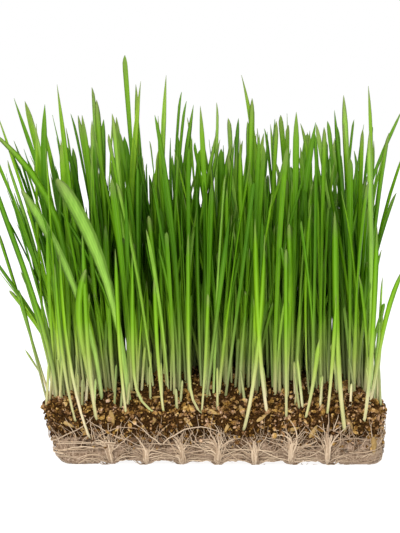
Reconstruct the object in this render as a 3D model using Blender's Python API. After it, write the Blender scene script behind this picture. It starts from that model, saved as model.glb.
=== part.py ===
"""A slab of oat grass lifted out of the tray that it grew in.

The slab is about 234 mm wide at its top and 118 mm deep. It is about 39 mm tall at its walls and heaped up to
about 50 mm behind them. Its lower half is a felt of roots, its upper half is crumbly growing medium, and tufts
of oat plants stand in plain holes in the medium. Everything is in metres, +Z up, +X to the right and -Y to the
front. The origin is under the middle of the slab's foot, on the surface that it stands on.
"""

import math

import bmesh
import bpy
import numpy as np
from mathutils import Vector, noise

MM = 0.001

# The slab, as the tray moulded it: how far its walls stand from the middle at the foot and at the top
SLAB_HEIGHT = 41 * MM
LEFT_WALL = (112 * MM, 120 * MM)
RIGHT_WALL = (112 * MM, 114 * MM)
FRONT_WALL = (55 * MM, 59 * MM)
PLAN_X = 116 * MM
PLAN_Y = 59 * MM
CORNER_RADIUS = 12 * MM
MAT_TOP = 20 * MM
FACE_GAP = 0.3 * MM

# The underside: roots fill the tray's drain holes and its four corner wells
HOLE_PITCH = 25.4 * MM
HOLE_COLUMNS = 7
HOLE_ROWS = 3
BUNDLE_HALF = 2.3 * MM
ARCH_START = 0.36 * HOLE_PITCH
ARCH_HEIGHT = 3.6 * MM
WALL_ROW = 48 * MM
BUNDLE_RISE = 0.6 * MM
FOOT_X = 86.5 * MM
FOOT_Y = 41 * MM
FOOT_LINES_X = (87.5 * MM, 100 * MM, 107 * MM)
FOOT_LINES_Y = (42 * MM, 49 * MM)
MAT_LEVELS = (3.6 * MM, 11 * MM)
BOTTOM_ROUND = 7 * MM
BOTTOM_TUCK = 4.5 * MM

# Relief of the medium's crumbs and of the root felt
CROWN_RISE = 9.5 * MM
CROWN_RUN = 30 * MM
SWELL = 3.4 * MM
CRUMB = 1.5 * MM
SHOULDER = 9 * MM
SHOULDER_DROP = 3.2 * MM
WALL_CRUMB = 1.1 * MM
FELT = 0.7 * MM
TOP_CELL = 19 * MM
WALL_CELL = 8.3 * MM
WALL_LEVELS = (0.33, 0.68)

# The tufts' grid, and the crown of roots under each tuft
TUFT_COLUMNS = 9
TUFT_ROWS = 4
TUFT_PITCH_X = 24.8 * MM
TUFT_PITCH_Y = 28 * MM
TUFT_MIDDLE = -2 * MM
TUFT_SHIFT = 0.2 * MM
CROWN_X = 11.2 * MM
CROWN_Y = 12.9 * MM
CROWN_DEPTH = 10 * MM
ROOT_OVER_CROWN = 1.5 * MM
BASE_INSET = 1.9 * MM

# The blades that fill the tufts
SEED = 41
BLADES_IN_ROW = (7, 12, 12, 9)
BLADE_SUNK = 4 * MM
BLADE_WIDTHS = (3.9 * MM, 5.6 * MM)
BLADE_HEIGHTS = (108 * MM, 190 * MM)
RING_SHARES = (0.0, 0.25, 0.88, 1.0)
RING_WIDTHS = (0.48, 0.6, 0.9, 0.0)
STEM_DEPTH = 1.7 * MM
BLADE_DEPTH = 0.95 * MM
FAN_LEFT = 0.13
FAN_RIGHT = -0.03
FAN_FRONT = 0.1
FAN_BACK = 0.14
LEAN_SPREAD = 0.042
BEND_SPREAD = 0.055
TWIST = 0.5
BLADE_CLEARANCE = 1.8 * MM
LEVEL_STEP = 5 * MM
TRIES = 60

# Tips of the tall blades that make the skyline: distance right of the middle and height over the floor, both
# where the line from an eye in front of the slab to the tip passes through the plane of the front wall
EYE_DISTANCE = 0.972
EYE_HEIGHT = 0.233
SKYLINE_SHARES = (0.0, 0.2, 0.5, 0.9, 1.0)
SKYLINE_WIDTHS = (0.46, 0.52, 0.92, 0.78, 0.0)
SKYLINE = [
    (x * MM, height * MM)
    for x, height in [
        (-146, 238), (-134, 247), (-127, 245), (-114, 243), (-106, 256), (-92, 236), (-83, 254), (-80, 246),
        (-70, 237), (-61, 275), (-54, 256), (-51, 258), (-42, 236), (-34, 262), (-24, 251), (-21, 245),
        (-12, 242), (-1, 244), (8, 222), (15, 262), (22, 247), (30, 224), (41, 236), (45, 237),
        (51, 238), (59, 221), (70, 220), (82, 249), (98, 255), (121, 240), (128, 226),
    ]
]

# Leaves with a shape of their own: places right of the middle, heights, widths, then the depth of root and tip
SHAPED = [
    ((-60, -67, -73, -83, -94, -105),
     (0, 50, 81, 108, 131, 150), (2.4, 2.8, 4.6, 7.6, 8.2, 3.0), (-49, -68)),
    ((-79, -87, -96, -110, -119, -129),
     (0, 43, 79, 105, 122, 140), (2.2, 2.6, 4.0, 6.0, 5.8, 2.0), (-46, -64)),
    ((-84, -89, -93, -92, -88), (0, 29, 57, 71, 90), (2.2, 3.0, 5.8, 4.6, 0.8), (-51, -63)),
    ((-99, -102, -108, -116, -133, -150),
     (0, 70, 122, 139, 158, 178), (2.4, 3.6, 5.4, 5.6, 5.0, 1.2), (-40, -50)),
    ((-109, -121, -133, -143, -150, -155),
     (0, 57, 98, 124, 146, 163), (2.2, 3.4, 4.2, 4.0, 3.0, 0.8), (-45, -52)),
    ((-109, -120, -133, -143, -157), (0, 40, 62, 76, 97), (2.0, 2.4, 3.2, 3.2, 0.8), (-18, -22)),
    ((-109, -117, -128, -138), (0, 36, 62, 82), (1.9, 2.2, 2.8, 0.7), (-9, -8)),
    ((102, 109, 114, 119, 123), (0, 40, 64, 81, 89), (2.0, 2.4, 3.6, 3.4, 0.8), (-50, -55)),
    ((106, 109, 111), (0, 45, 84), (1.9, 2.2, 0.7), (-37, -40)),
]

# Root strands that stand proud of the mat's walls
STRANDS_PER_BUNDLE = 2
STRAND_RADIUS = 0.8 * MM
STRAND_POINTS = 4

# Oat husks half sunk in the medium
HUSK_LENGTH = 11 * MM
HUSK_RADIUS = 1.7 * MM
HUSKS_FRONT = 6
HUSKS_SIDE = 2


def clear_scene():
    """Empty the scene, so that the file gives the same model each run."""
    for obj in list(bpy.data.objects):
        bpy.data.objects.remove(obj, do_unlink=True)


def material(name, colour, roughness):
    """A plain material: every surface here is dull and none is metal."""
    made = bpy.data.materials.new(name)
    made.use_nodes = True
    shader = made.node_tree.nodes["Principled BSDF"]
    shader.inputs["Base Color"].default_value = (*colour, 1.0)
    shader.inputs["Roughness"].default_value = roughness
    shader.inputs["Metallic"].default_value = 0.0
    made.diffuse_color = (*colour, 1.0)
    return made


def object_from(bm, name, collection, finish=None):
    """Turn a bmesh into a named object in a collection."""
    bmesh.ops.recalc_face_normals(bm, faces=bm.faces)
    mesh = bpy.data.meshes.new(name)
    bm.to_mesh(mesh)
    bm.free()
    if finish:
        mesh.materials.append(finish)
    obj = bpy.data.objects.new(name, mesh)
    collection.objects.link(obj)
    return obj


def new_collection(name):
    """A collection of the scene."""
    made = bpy.data.collections.new(name)
    bpy.context.scene.collection.children.link(made)
    return made


def boolean(target, others, operation):
    """Add one Boolean that joins a collection of objects to the target, or cuts them from it."""
    modifier = target.modifiers.new(operation.title(), "BOOLEAN")
    modifier.operation = operation
    modifier.solver = "EXACT"
    modifier.operand_type = "COLLECTION"
    modifier.collection = others


def join(target, others):
    """Fuse a collection of objects into the target for good, and remove them."""
    boolean(target, others, "UNION")
    graph = bpy.context.evaluated_depsgraph_get()
    mesh = bpy.data.meshes.new_from_object(target.evaluated_get(graph))
    target.modifiers.clear()
    target.data = mesh
    for other in list(others.objects):
        bpy.data.objects.remove(other, do_unlink=True)
    bpy.data.collections.remove(others)


def smooth_share(value):
    """A share from 0 to 1 with soft ends."""
    value = min(max(value, 0.0), 1.0)
    return value * value * (3 - 2 * value)


def reach(wall, z):
    """How far a wall stands from the middle at height z: the tray's walls lean out towards the top."""
    foot, top = wall
    return foot + (top - foot) * z / SLAB_HEIGHT


def side_wall(x):
    """The wall at the left or the right end, whichever x is nearer to."""
    return LEFT_WALL if x < 0 else RIGHT_WALL


def round_corner(x, y):
    """Bend a point of the plan's square-cornered outline onto the outline with round corners."""
    over_x, over_y = over_corner(x, y)
    if over_x == 0 or over_y == 0:
        return x, y
    squeeze = 1 - max(over_x, over_y) / math.hypot(over_x, over_y)
    return x - math.copysign(over_x * squeeze, x), y - math.copysign(over_y * squeeze, y)


def over_corner(x, y):
    """How far a place lies past the middles of the corner arcs along X and along Y."""
    return max(abs(x) - PLAN_X + CORNER_RADIUS, 0.0), max(abs(y) - PLAN_Y + CORNER_RADIUS, 0.0)


def on_slab(x, y, z, inset):
    """Move a place of the plan out to the leaning walls' size at height z, less an inset on a wall."""
    moved = Vector((x * reach(side_wall(x), z) / PLAN_X, y * reach(FRONT_WALL, z) / PLAN_Y))
    over = Vector(over_corner(x, y))
    if inset and over.length > 0:
        over.normalize()
        moved -= inset * Vector((math.copysign(over.x, x), math.copysign(over.y, y)))
    return moved


def medium_height(x, y):
    """Height of the medium's top: heaped up behind its edges, with swells and crumbs, and worn at the edges."""
    edge = min(reach(side_wall(x), SLAB_HEIGHT) - abs(x), PLAN_Y - abs(y))
    crown = CROWN_RISE * smooth_share(edge / CROWN_RUN)
    swell = SWELL * noise.noise(Vector((x, y, 0.3)) / (38 * MM))
    crumb = CRUMB * noise.noise(Vector((x, y, 0.7)) / (11 * MM))
    worn = SHOULDER_DROP * (1 - smooth_share(edge / SHOULDER)) ** 2
    return SLAB_HEIGHT + crown + swell + crumb - worn


def plain_box(low, high):
    """A box from low to high, before it is cut into a grid."""
    bm = bmesh.new()
    bmesh.ops.create_cube(bm, size=1)
    for vert in bm.verts:
        vert.co = Vector([a if side < 0 else b for side, a, b in zip(vert.co, low, high)])
    return bm


def slice_box(bm, axis, places, faces_like=None):
    """Cut a box across an axis at each place, or only those of its faces that look along the axis faces_like."""
    normal = Vector([float(k == axis) for k in range(3)])
    for place in places:
        bm.normal_update()
        faces = [f for f in bm.faces if faces_like is None or abs(f.normal[faces_like]) > 0.99]
        edges = {e for f in faces for e in f.edges}
        verts = {v for f in faces for v in f.verts}
        geometry = [*verts, *edges, *faces]
        bmesh.ops.bisect_plane(bm, geom=geometry, dist=1e-7, plane_co=normal * place, plane_no=normal)


def even_lines(half, step):
    """Evenly spaced lines between -half and half, about a step apart."""
    count = round(2 * half / step)
    return [-half + 2 * half * k / count for k in range(1, count)]


def mirrored(values):
    """Each value and its mirror image."""
    return sorted({v for value in values for v in (value, -value)})


def dissolve_plane(bm, z):
    """Merge the flat faces at height z into one."""
    bm.normal_update()
    flat = [e for e in bm.edges if all(abs(v.co.z - z) < 1e-6 for v in e.verts) and len(e.link_faces) == 2]
    inner = [e for e in flat if all(abs(f.normal.z) > 0.99 for f in e.link_faces)]
    bmesh.ops.dissolve_edges(bm, edges=inner, use_verts=True, use_face_split=False)


def is_on_wall(x, y):
    """Whether a point of the plain box lies on one of its four walls."""
    return abs(x) > PLAN_X - 1e-6 or abs(y) > PLAN_Y - 1e-6


def build_medium(collection, finish):
    """The crumbly upper half of the slab, with a finer grid on its walls than on its top."""
    bottom = MAT_TOP + FACE_GAP
    bm = plain_box((-PLAN_X, -PLAN_Y, bottom), (PLAN_X, PLAN_Y, SLAB_HEIGHT))
    slice_box(bm, 0, even_lines(PLAN_X, TOP_CELL), faces_like=2)
    slice_box(bm, 1, even_lines(PLAN_Y, TOP_CELL), faces_like=2)
    slice_box(bm, 0, even_lines(PLAN_X, WALL_CELL), faces_like=1)
    slice_box(bm, 1, even_lines(PLAN_Y, WALL_CELL), faces_like=0)
    slice_box(bm, 2, [bottom + (SLAB_HEIGHT - bottom) * level for level in WALL_LEVELS])
    dissolve_plane(bm, bottom)
    for vert in bm.verts:
        vert.co = medium_point(vert.co, bottom)
    return object_from(bm, "growing_medium", collection, finish)


def medium_point(co, bottom):
    """Move a point of the plain box onto the medium's lumpy surface."""
    x, y, z = co
    inset = 0.0
    if is_on_wall(x, y) and z > bottom + 1e-6:
        inset = WALL_CRUMB * (1 - noise.noise(Vector((x, y, z)) / (9 * MM)))
    x, y = on_slab(*round_corner(x, y), z, inset)
    level = (z - bottom) / (SLAB_HEIGHT - bottom)
    return Vector((x, y, bottom + level * (medium_height(x, y) - bottom)))


def bundle_columns():
    """The drain holes' places from left to right."""
    return [(k - (HOLE_COLUMNS - 1) / 2) * HOLE_PITCH for k in range(HOLE_COLUMNS)]


def bundle_rows():
    """The inner rows of drain holes. A further row lies along each wall."""
    return [(k - (HOLE_ROWS - 1) / 2) * HOLE_PITCH for k in range(HOLE_ROWS)]


def mat_lines(centres, apart, outer):
    """Lines at the given distances to both sides of each bundle, then the outer ones."""
    beside = [c + side * distance for c in centres for side in (-1, 1) for distance in apart]
    return sorted({round(line, 6) for line in beside + mirrored(outer)})


def underside_height(x, y):
    """Height of the mat's underside: low at each bundle and corner foot, arched between them."""
    uneven = noise.noise(Vector((x, y, 0.0)) / (17 * MM))
    in_column = any(abs(x - c) < BUNDLE_HALF * 1.1 for c in bundle_columns())
    in_row = any(abs(y - c) < BUNDLE_HALF * 1.1 for c in bundle_rows()) or abs(y) > WALL_ROW
    if (abs(x) > FOOT_X and abs(y) > FOOT_Y) or math.hypot(x, y) < BUNDLE_HALF * 1.5:
        return 0.0
    if in_column and in_row:
        return BUNDLE_RISE * (1 + uneven)
    return ARCH_HEIGHT * (1 + 0.25 * uneven)


def build_mat(collection, finish):
    """The felt of roots that fills the foot of the slab."""
    bm = plain_box((-PLAN_X, -PLAN_Y, 0), (PLAN_X, PLAN_Y, MAT_TOP))
    slice_box(bm, 0, mat_lines(bundle_columns(), (BUNDLE_HALF, ARCH_START), FOOT_LINES_X))
    slice_box(bm, 1, mat_lines(bundle_rows(), (BUNDLE_HALF, HOLE_PITCH / 2), FOOT_LINES_Y))
    slice_box(bm, 2, MAT_LEVELS)
    dissolve_plane(bm, MAT_TOP)
    for vert in bm.verts:
        vert.co = mat_point(vert.co)
    return object_from(bm, "root_mat", collection, finish)


def mat_point(co):
    """Move a point of the plain box onto the mat's moulded surface."""
    x, y, z = co
    on_wall = is_on_wall(x, y)
    if z < 5 * MM:
        under = underside_height(x, y)
        z = under if z < 1e-6 else max(z, under + 1.6 * MM)
    inset = 0.0
    if on_wall and z < MAT_TOP - 1e-6:
        drop = max(BOTTOM_ROUND - z, 0.0)
        tuck = BOTTOM_ROUND - math.sqrt(BOTTOM_ROUND**2 - drop**2)
        inset = min(tuck, BOTTOM_TUCK) + FELT * (1 - noise.noise(Vector((x, y, z)) / (8 * MM)))
    return Vector((*on_slab(*round_corner(x, y), z, inset), z))


def loft(rings, tip=None, tail=None):
    """A closed skin through rings of points, ending in a cap or in a point."""
    bm = bmesh.new()
    rows = [[bm.verts.new(p) for p in ring] for ring in rings]
    for low, high in zip(rows, rows[1:]):
        for k in range(len(low)):
            n = (k + 1) % len(low)
            bm.faces.new((low[k], low[n], high[n], high[k]))
    for row, point in ((rows[0], tail), (rows[-1], tip)):
        if point is None:
            bm.faces.new(row)
            continue
        end = bm.verts.new(point)
        for k in range(len(row)):
            bm.faces.new((row[k], row[(k + 1) % len(row)], end))
    return bm


def wall_point(side, along, z, lift):
    """A point over one of the slab's four walls: side 0 front, 1 right, 2 back, 3 left."""
    if side % 2 == 0:
        out = reach(FRONT_WALL, z) + lift
        return Vector((along, -out if side == 0 else out, z))
    if side == 1:
        return Vector((reach(RIGHT_WALL, z) + lift, along, z))
    return Vector((-reach(LEFT_WALL, z) - lift, along, z))


def add_strand(side, start, end, collection):
    """One root that leaves the mat's wall, runs over it and goes back in. Its middle stands proud."""
    rings = []
    for k in range(STRAND_POINTS):
        share = k / (STRAND_POINTS - 1)
        along = start[0] + (end[0] - start[0]) * share
        z = start[1] + (end[1] - start[1]) * share
        proud = math.sin(math.pi * share)
        middle = wall_point(side, along, z, (2.3 * proud - 1.5) * MM)
        run = Vector((end[0] - start[0], end[1] - start[1])).normalized()
        across = (wall_point(side, along - run.y, z + run.x, 0) - wall_point(side, along, z, 0)).normalized()
        out = (wall_point(side, along, z, 1) - wall_point(side, along, z, 0)).normalized()
        ring = [
            middle + STRAND_RADIUS * (across * math.cos(turn) + out * math.sin(turn))
            for turn in (math.pi / 2, math.pi * 7 / 6, math.pi * 11 / 6)
        ]
        rings.append(ring)
    object_from(loft(rings), "strand", collection)


def build_strands(collection):
    """Roots that run down the walls and gather at the bundles."""
    rng = np.random.default_rng(SEED + 2)
    for side in range(4):
        centres = bundle_columns() if side % 2 == 0 else bundle_rows()
        for centre in centres:
            for k in range(STRANDS_PER_BUNDLE):
                spread = (k - (STRANDS_PER_BUNDLE - 1) / 2) * 11 * MM + rng.uniform(-2, 2) * MM
                start = (centre + spread, rng.uniform(14.5, 17.5) * MM)
                end = (centre + spread * 0.28, rng.uniform(4.6, 6.4) * MM)
                add_strand(side, start, end, collection)
    return collection


def add_husk(place, direction, collection):
    """One oat husk: a slim spindle, blunt at one end."""
    along = direction.normalized()
    across = along.orthogonal().normalized()
    third = along.cross(across)
    rings = []
    for share, radius in ((-0.3, 0.86), (0.12, 1.0)):
        turns = [k * math.pi / 2 for k in range(4)]
        middle = place + along * HUSK_LENGTH * share
        rings.append([
            middle + (across * math.cos(t) + third * math.sin(t)) * HUSK_RADIUS * radius for t in turns
        ])
    ends = place + along * HUSK_LENGTH * 0.5, place - along * HUSK_LENGTH * 0.5
    object_from(loft(rings, *ends), "husk", collection)


def build_husks(collection):
    """Husks that show along the slab's upper edge and in its walls."""
    rng = np.random.default_rng(SEED + 1)
    for side, count in enumerate((HUSKS_FRONT, HUSKS_SIDE, HUSKS_FRONT, HUSKS_SIDE)):
        half = (PLAN_X if side % 2 == 0 else PLAN_Y) - 18 * MM
        for k in range(count):
            along = -half + 2 * half * (k + 0.5) / count + rng.uniform(-4, 4) * MM
            z = rng.uniform(26, 35) * MM
            place = wall_point(side, along, z, -0.9 * MM)
            tilt = rng.uniform(-1, 1)
            heading = wall_point(side, along + tilt * MM, z + MM * 0.8, -0.9 * MM) - place
            add_husk(place, heading, collection)
    return collection


class Blade:
    """One blade as level rings: heights, middles, half-width vectors, and depths of the keel."""

    def __init__(self, z, middle, width, turn):
        self.z = np.asarray(z, float)
        self.middle = np.asarray(middle, float)
        self.half = np.asarray(width)[:, None] / 2 * np.stack([np.cos(turn), np.sin(turn)], 1)
        stem = np.interp(self.z - SLAB_HEIGHT, [0, 45 * MM], [1, 0])
        self.depth = BLADE_DEPTH + (STEM_DEPTH - BLADE_DEPTH) * stem

    def at(self, levels):
        """Middle and half-width vector at each level, with nothing over the tip or under the root."""
        columns = [*self.middle.T, *self.half.T]
        found = np.stack([np.interp(levels, self.z, c) for c in columns], 1)
        found[(levels > self.z[-1]) | (levels < self.z[0])] = np.nan
        return found

    def rings(self):
        """The triangular sections of the blade as lists of points, and its tip."""
        made = []
        for z, middle, half, depth in list(zip(self.z, self.middle, self.half, self.depth))[:-1]:
            side = half / np.linalg.norm(half)
            out = np.array([-side[1], side[0]]) * depth
            corners = (middle - half + out / 3, middle + half + out / 3, middle - out * 2 / 3)
            made.append([Vector((*c, z)) for c in corners])
        return made, Vector((*self.middle[-1], self.z[-1]))


def point_to_segment(p, a, b):
    """Distance from points p to the segments from a to b, all in the plane."""
    run = b - a
    length = np.maximum((run**2).sum(-1), 1e-12)
    share = np.clip(((p - a) * run).sum(-1) / length, 0, 1)
    return np.sqrt(((p - a - share[..., None] * run) ** 2).sum(-1))


def side_of(p, q, r):
    """Positive where r lies to the left of the line from p to q, and negative to its right."""
    along, to_point = q - p, r - p
    return along[..., 0] * to_point[..., 1] - along[..., 1] * to_point[..., 0]


def smallest_gap(one, others):
    """The smallest distance between one blade and the others, level by level."""
    if not len(others):
        return np.inf
    a, b = one[:, :2] - one[:, 2:], one[:, :2] + one[:, 2:]
    c, d = others[..., :2] - others[..., 2:], others[..., :2] + others[..., 2:]
    to_other = np.minimum(point_to_segment(a, c, d), point_to_segment(b, c, d))
    to_one = np.minimum(point_to_segment(c, a, b), point_to_segment(d, a, b))
    crossed = (side_of(a, b, c) * side_of(a, b, d) < 0) & (side_of(c, d, a) * side_of(c, d, b) < 0)
    gap = np.where(crossed, 0.0, np.minimum(to_other, to_one))
    return np.nanmin(np.where(np.isnan(gap), np.inf, gap))


def tuft_centres(rng):
    """Where the tufts stand, a little off a regular grid."""
    made = []
    for row in range(TUFT_ROWS):
        for column in range(TUFT_COLUMNS):
            x = TUFT_MIDDLE + (column - (TUFT_COLUMNS - 1) / 2) * TUFT_PITCH_X
            y = (row - (TUFT_ROWS - 1) / 2) * TUFT_PITCH_Y
            shift = rng.uniform(-1, 1, 2) * TUFT_SHIFT
            made.append((x + shift[0], y + shift[1]))
    return made


def random_base(rng, centre):
    """A place for a root inside a tuft's crown, off its cut corners. In the outer rows it is the inner half."""
    while True:
        u, v = rng.uniform(-1, 1, 2)
        if abs(u) + abs(v) < 1.5:
            break
    if abs(centre[1]) > TUFT_PITCH_Y:
        v = -math.copysign(abs(v), centre[1])
    x = centre[0] + (CROWN_X - BASE_INSET) * u
    y = centre[1] + (CROWN_Y - BASE_INSET) * v
    return np.array([x, y]), root_height(x, y, centre)


def root_height(x, y, centre):
    """Height of a blade's root: sunk in the medium, but inside its tuft's crown."""
    crown_floor = medium_height(*centre) - CROWN_DEPTH
    return max(medium_height(x, y) - BLADE_SUNK, crown_floor + ROOT_OVER_CROWN)


def spread(rng, size, limit=2.0):
    """Two random numbers of a bell curve, with its far ends cut off."""
    return np.clip(rng.normal(0, 1, 2), -limit, limit) * size


def fan_lean(base):
    """How far the grass leans out at a place: more the farther it stands from the middle."""
    side = FAN_LEFT if base[0] < 0 else FAN_RIGHT
    end = FAN_FRONT if base[1] < 0 else FAN_BACK
    return np.array([side * base[0] / PLAN_X, end * base[1] / PLAN_Y])


def filling_blade(rng, centre):
    """A blade from a tuft's crown that leans out with the fan."""
    base, z = random_base(rng, centre)
    fan = fan_lean(base)
    height = rng.uniform(*BLADE_HEIGHTS)
    lean = fan * 0.75 + spread(rng, LEAN_SPREAD)
    bend = fan * 0.35 + spread(rng, BEND_SPREAD)
    return curved_blade(rng, base, z, height, lean, bend, RING_SHARES, RING_WIDTHS)


def skyline_blade(rng, centre, tip):
    """A tall blade from a tuft's crown to a tip of the skyline."""
    base, z = random_base(rng, centre)
    fan = fan_lean(base)
    depth = base[1] + fan[1] * (tip[1] - SLAB_HEIGHT) + PLAN_Y
    farther = 1 + depth / EYE_DISTANCE
    height = EYE_HEIGHT + (tip[1] - EYE_HEIGHT) * farther - z
    lean = fan * 0.75 + spread(rng, LEAN_SPREAD)
    bend = fan - lean
    bend[0] = (tip[0] * farther - base[0]) / height - lean[0]
    return curved_blade(rng, base, z, height, lean, bend, SKYLINE_SHARES, SKYLINE_WIDTHS)


def curved_blade(rng, base, z, height, lean, bend, shares, widths):
    """A blade that leans, bends further towards its tip and twists as it grows."""
    shares = np.array(shares)
    rise = height * shares[:, None]
    middle = base + rise * lean + rise * shares[:, None] * bend
    turn = rng.uniform(0, 2 * math.pi) + rng.uniform(-TWIST, TWIST) * shares
    return Blade(z + height * shares, middle, rng.uniform(*BLADE_WIDTHS) * np.array(widths), turn)


def shaped_blade(rng, centre, places, heights, widths, depths):
    """One of the leaves with a shape of its own. Its root is sunk in the medium like the others'."""
    x = np.array(places) * MM
    y = np.interp(heights, [0, heights[-1]], depths) * MM
    z = medium_height(x[0], y[0]) + np.array(heights) * MM
    z[0] = root_height(x[0], y[0], centre)
    z, x, y = np.append(z, z[-1] + 1.2 * MM), np.append(x, x[-1]), np.append(y, y[-1])
    turn = rng.uniform(-0.3, 0.3) * np.ones(len(x))
    return Blade(z, np.stack([x, y], 1), np.append(widths, 0) * MM, turn)


def is_clear(line, placed):
    """Whether a blade's line, given level by level, touches none of those already placed."""
    if not placed:
        return True
    others = np.array(placed)
    away = np.linalg.norm(others[..., :2] - line[:, :2], axis=-1)
    near = np.where(np.isnan(away), np.inf, away).min(axis=1) < 10 * MM
    return smallest_gap(line, others[near]) > BLADE_CLEARANCE


def first_clear(make, placed, levels):
    """The first of several random blades that touches none of those already placed."""
    for _ in range(TRIES):
        blade = make()
        line = blade.at(levels)
        if is_clear(line, placed):
            placed.append(line)
            return [blade]
    return []


def plan_blades():
    """All blades, as one list for each tuft. Shaped leaves come first, then the skyline, then the rest."""
    rng = np.random.default_rng(SEED)
    centres = tuft_centres(rng)
    levels = np.arange(SLAB_HEIGHT - 8 * MM, 280 * MM, LEVEL_STEP)
    tufts, placed = [[] for _ in centres], []
    for places, heights, widths, depths in SHAPED:
        home = min(range(len(centres)), key=lambda k: math.dist(centres[k], (places[0] * MM, depths[0] * MM)))
        blade = shaped_blade(rng, centres[home], places, heights, widths, depths)
        tufts[home].append(blade)
        placed.append(blade.at(levels))
    for number, tip in enumerate(SKYLINE):
        row = (number * 3) % TUFT_ROWS
        inside = [k for k in range(len(centres)) if k // TUFT_COLUMNS == row]
        rise = tip[1] - SLAB_HEIGHT
        home = min(inside, key=lambda k: abs(centres[k][0] + fan_lean(centres[k])[0] * rise - tip[0]))
        tufts[home] += first_clear(lambda: skyline_blade(rng, centres[home], tip), placed, levels)
    for _ in range(max(BLADES_IN_ROW)):
        for number, (tuft, centre) in enumerate(zip(tufts, centres)):
            if len(tuft) < BLADES_IN_ROW[number // TUFT_COLUMNS]:
                tuft += first_clear(lambda: filling_blade(rng, centre), placed, levels)
    return centres, tufts


def crown_object(name, centre, collection, grow=0.0, top=0.0):
    """The tangle of roots and seed under a tuft, as a plug. Grown a little, it is the cutter for its hole."""
    size_x, size_y = CROWN_X + grow, CROWN_Y + grow
    corners = [(1, 0.5), (0.5, 1), (-0.5, 1), (-1, 0.5), (-1, -0.5), (-0.5, -1), (0.5, -1), (1, -0.5)]
    outline = [(centre[0] + size_x * u, centre[1] + size_y * v) for u, v in corners]
    under = medium_height(*centre) - CROWN_DEPTH - grow
    rings = [[Vector((x, y, under)) for x, y in outline]]
    rings.append([Vector((x, y, medium_height(x, y) + top)) for x, y in outline])
    return object_from(loft(rings, Vector((*centre, medium_height(*centre) + top))), name, collection)


def build_tuft(name, centre, blades, collection, finish):
    """One tuft: its blades fused into the crown that they grow from."""
    crown = crown_object(name, centre, collection)
    crown.data.materials.append(finish)
    loose = new_collection("loose_blades")
    for blade in blades:
        rings, tip = blade.rings()
        object_from(loft(rings, tip), "blade", loose)
    join(crown, loose)


def cut_holes(medium, centres):
    """Cut a plain hole for each tuft. The cutters stay, as wires that don't render."""
    cutters = new_collection("cutters")
    for k, centre in enumerate(centres):
        cutter = crown_object(f"hole_{k + 1:02d}", centre, cutters, grow=FACE_GAP, top=9 * MM)
        cutter.hide_render = True
        cutter.display_type = "WIRE"
    boolean(medium, cutters, "DIFFERENCE")


def main():
    """Build the slab, its holes and the tufts that stand in them."""
    clear_scene()
    slab = new_collection("oat_grass_slab")
    brown = material("growing_medium", (0.16, 0.09, 0.035), 0.95)
    beige = material("root_felt", (0.42, 0.29, 0.17), 0.85)
    green = material("grass", (0.10, 0.27, 0.02), 0.5)
    centres, tufts = plan_blades()
    medium = build_medium(slab, brown)
    join(medium, build_husks(new_collection("loose_husks")))
    cut_holes(medium, centres)
    mat = build_mat(slab, beige)
    join(mat, build_strands(new_collection("loose_strands")))
    for k, (centre, blades) in enumerate(zip(centres, tufts)):
        build_tuft(f"grass_tuft_{k + 1:02d}", centre, blades, slab, green)
    print("blades:", sum(len(t) for t in tufts), "fewest in a tuft:", min(len(t) for t in tufts))


main()
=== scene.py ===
# %% [markdown]
# # A slab of oat grass
#
# Young oat grass grows so thick in a shallow tray that its roots knit the growing medium into one slab. The
# slab keeps the tray's shape when it is lifted out. This lesson dresses it with roots, crumbs, husks and
# blades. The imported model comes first, because it fixes every size and place that follows.

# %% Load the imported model
import math
from collections import namedtuple

import bmesh
import bpy
import numpy as np
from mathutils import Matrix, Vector, noise


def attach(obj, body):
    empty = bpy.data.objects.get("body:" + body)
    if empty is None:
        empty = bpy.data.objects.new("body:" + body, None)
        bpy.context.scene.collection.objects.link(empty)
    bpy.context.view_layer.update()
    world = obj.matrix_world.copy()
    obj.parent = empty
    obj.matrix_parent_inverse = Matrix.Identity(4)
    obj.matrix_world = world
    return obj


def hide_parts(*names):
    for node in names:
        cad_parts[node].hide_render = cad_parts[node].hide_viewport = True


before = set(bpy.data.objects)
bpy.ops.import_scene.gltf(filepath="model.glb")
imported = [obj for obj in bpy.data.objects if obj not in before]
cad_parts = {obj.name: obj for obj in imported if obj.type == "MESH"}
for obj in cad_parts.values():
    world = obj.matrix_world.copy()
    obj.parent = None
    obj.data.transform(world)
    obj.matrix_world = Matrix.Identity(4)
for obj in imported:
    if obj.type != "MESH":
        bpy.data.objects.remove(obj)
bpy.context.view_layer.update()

# %% [markdown]
# ## Camera, floor and light
#
# The slab stands on a white floor before a white background. A long lens a metre away keeps the stems
# nearly parallel. A bright white world could light it alone, but a stand of grass shows its depth only with
# one softer and one stronger side, so two large area lights stand in front of it.

# %% Camera at the slab's front
MM = 0.001
WHITE = (1.0, 1.0, 1.0, 1.0)
SENSOR_WIDTH = 36.0
FOCAL_LENGTH = 132.6
EYE = Vector((-0.0037, -1.0314, 0.2334))
TILT = math.radians(-5.72)
PAN = math.radians(-0.504)


def aimed(obj, place, target):
    """Put an object at a place and point its -Z at the target."""
    obj.location = place
    obj.rotation_euler = (Vector(target) - Vector(place)).to_track_quat("-Z", "Y").to_euler()
    bpy.context.scene.collection.objects.link(obj)


def front_camera():
    """The camera: as high as the upper leaves, and tilted down a little."""
    lens = bpy.data.cameras.new("front_camera")
    lens.sensor_width = SENSOR_WIDTH
    lens.sensor_fit = "HORIZONTAL"
    lens.lens = FOCAL_LENGTH
    camera = bpy.data.objects.new("front_camera", lens)
    ahead = Vector((math.sin(PAN) * math.cos(TILT), math.cos(PAN) * math.cos(TILT), math.sin(TILT)))
    aimed(camera, EYE, EYE + ahead)
    bpy.context.scene.camera = camera
    return camera


print("camera at", front_camera().location)

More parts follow.
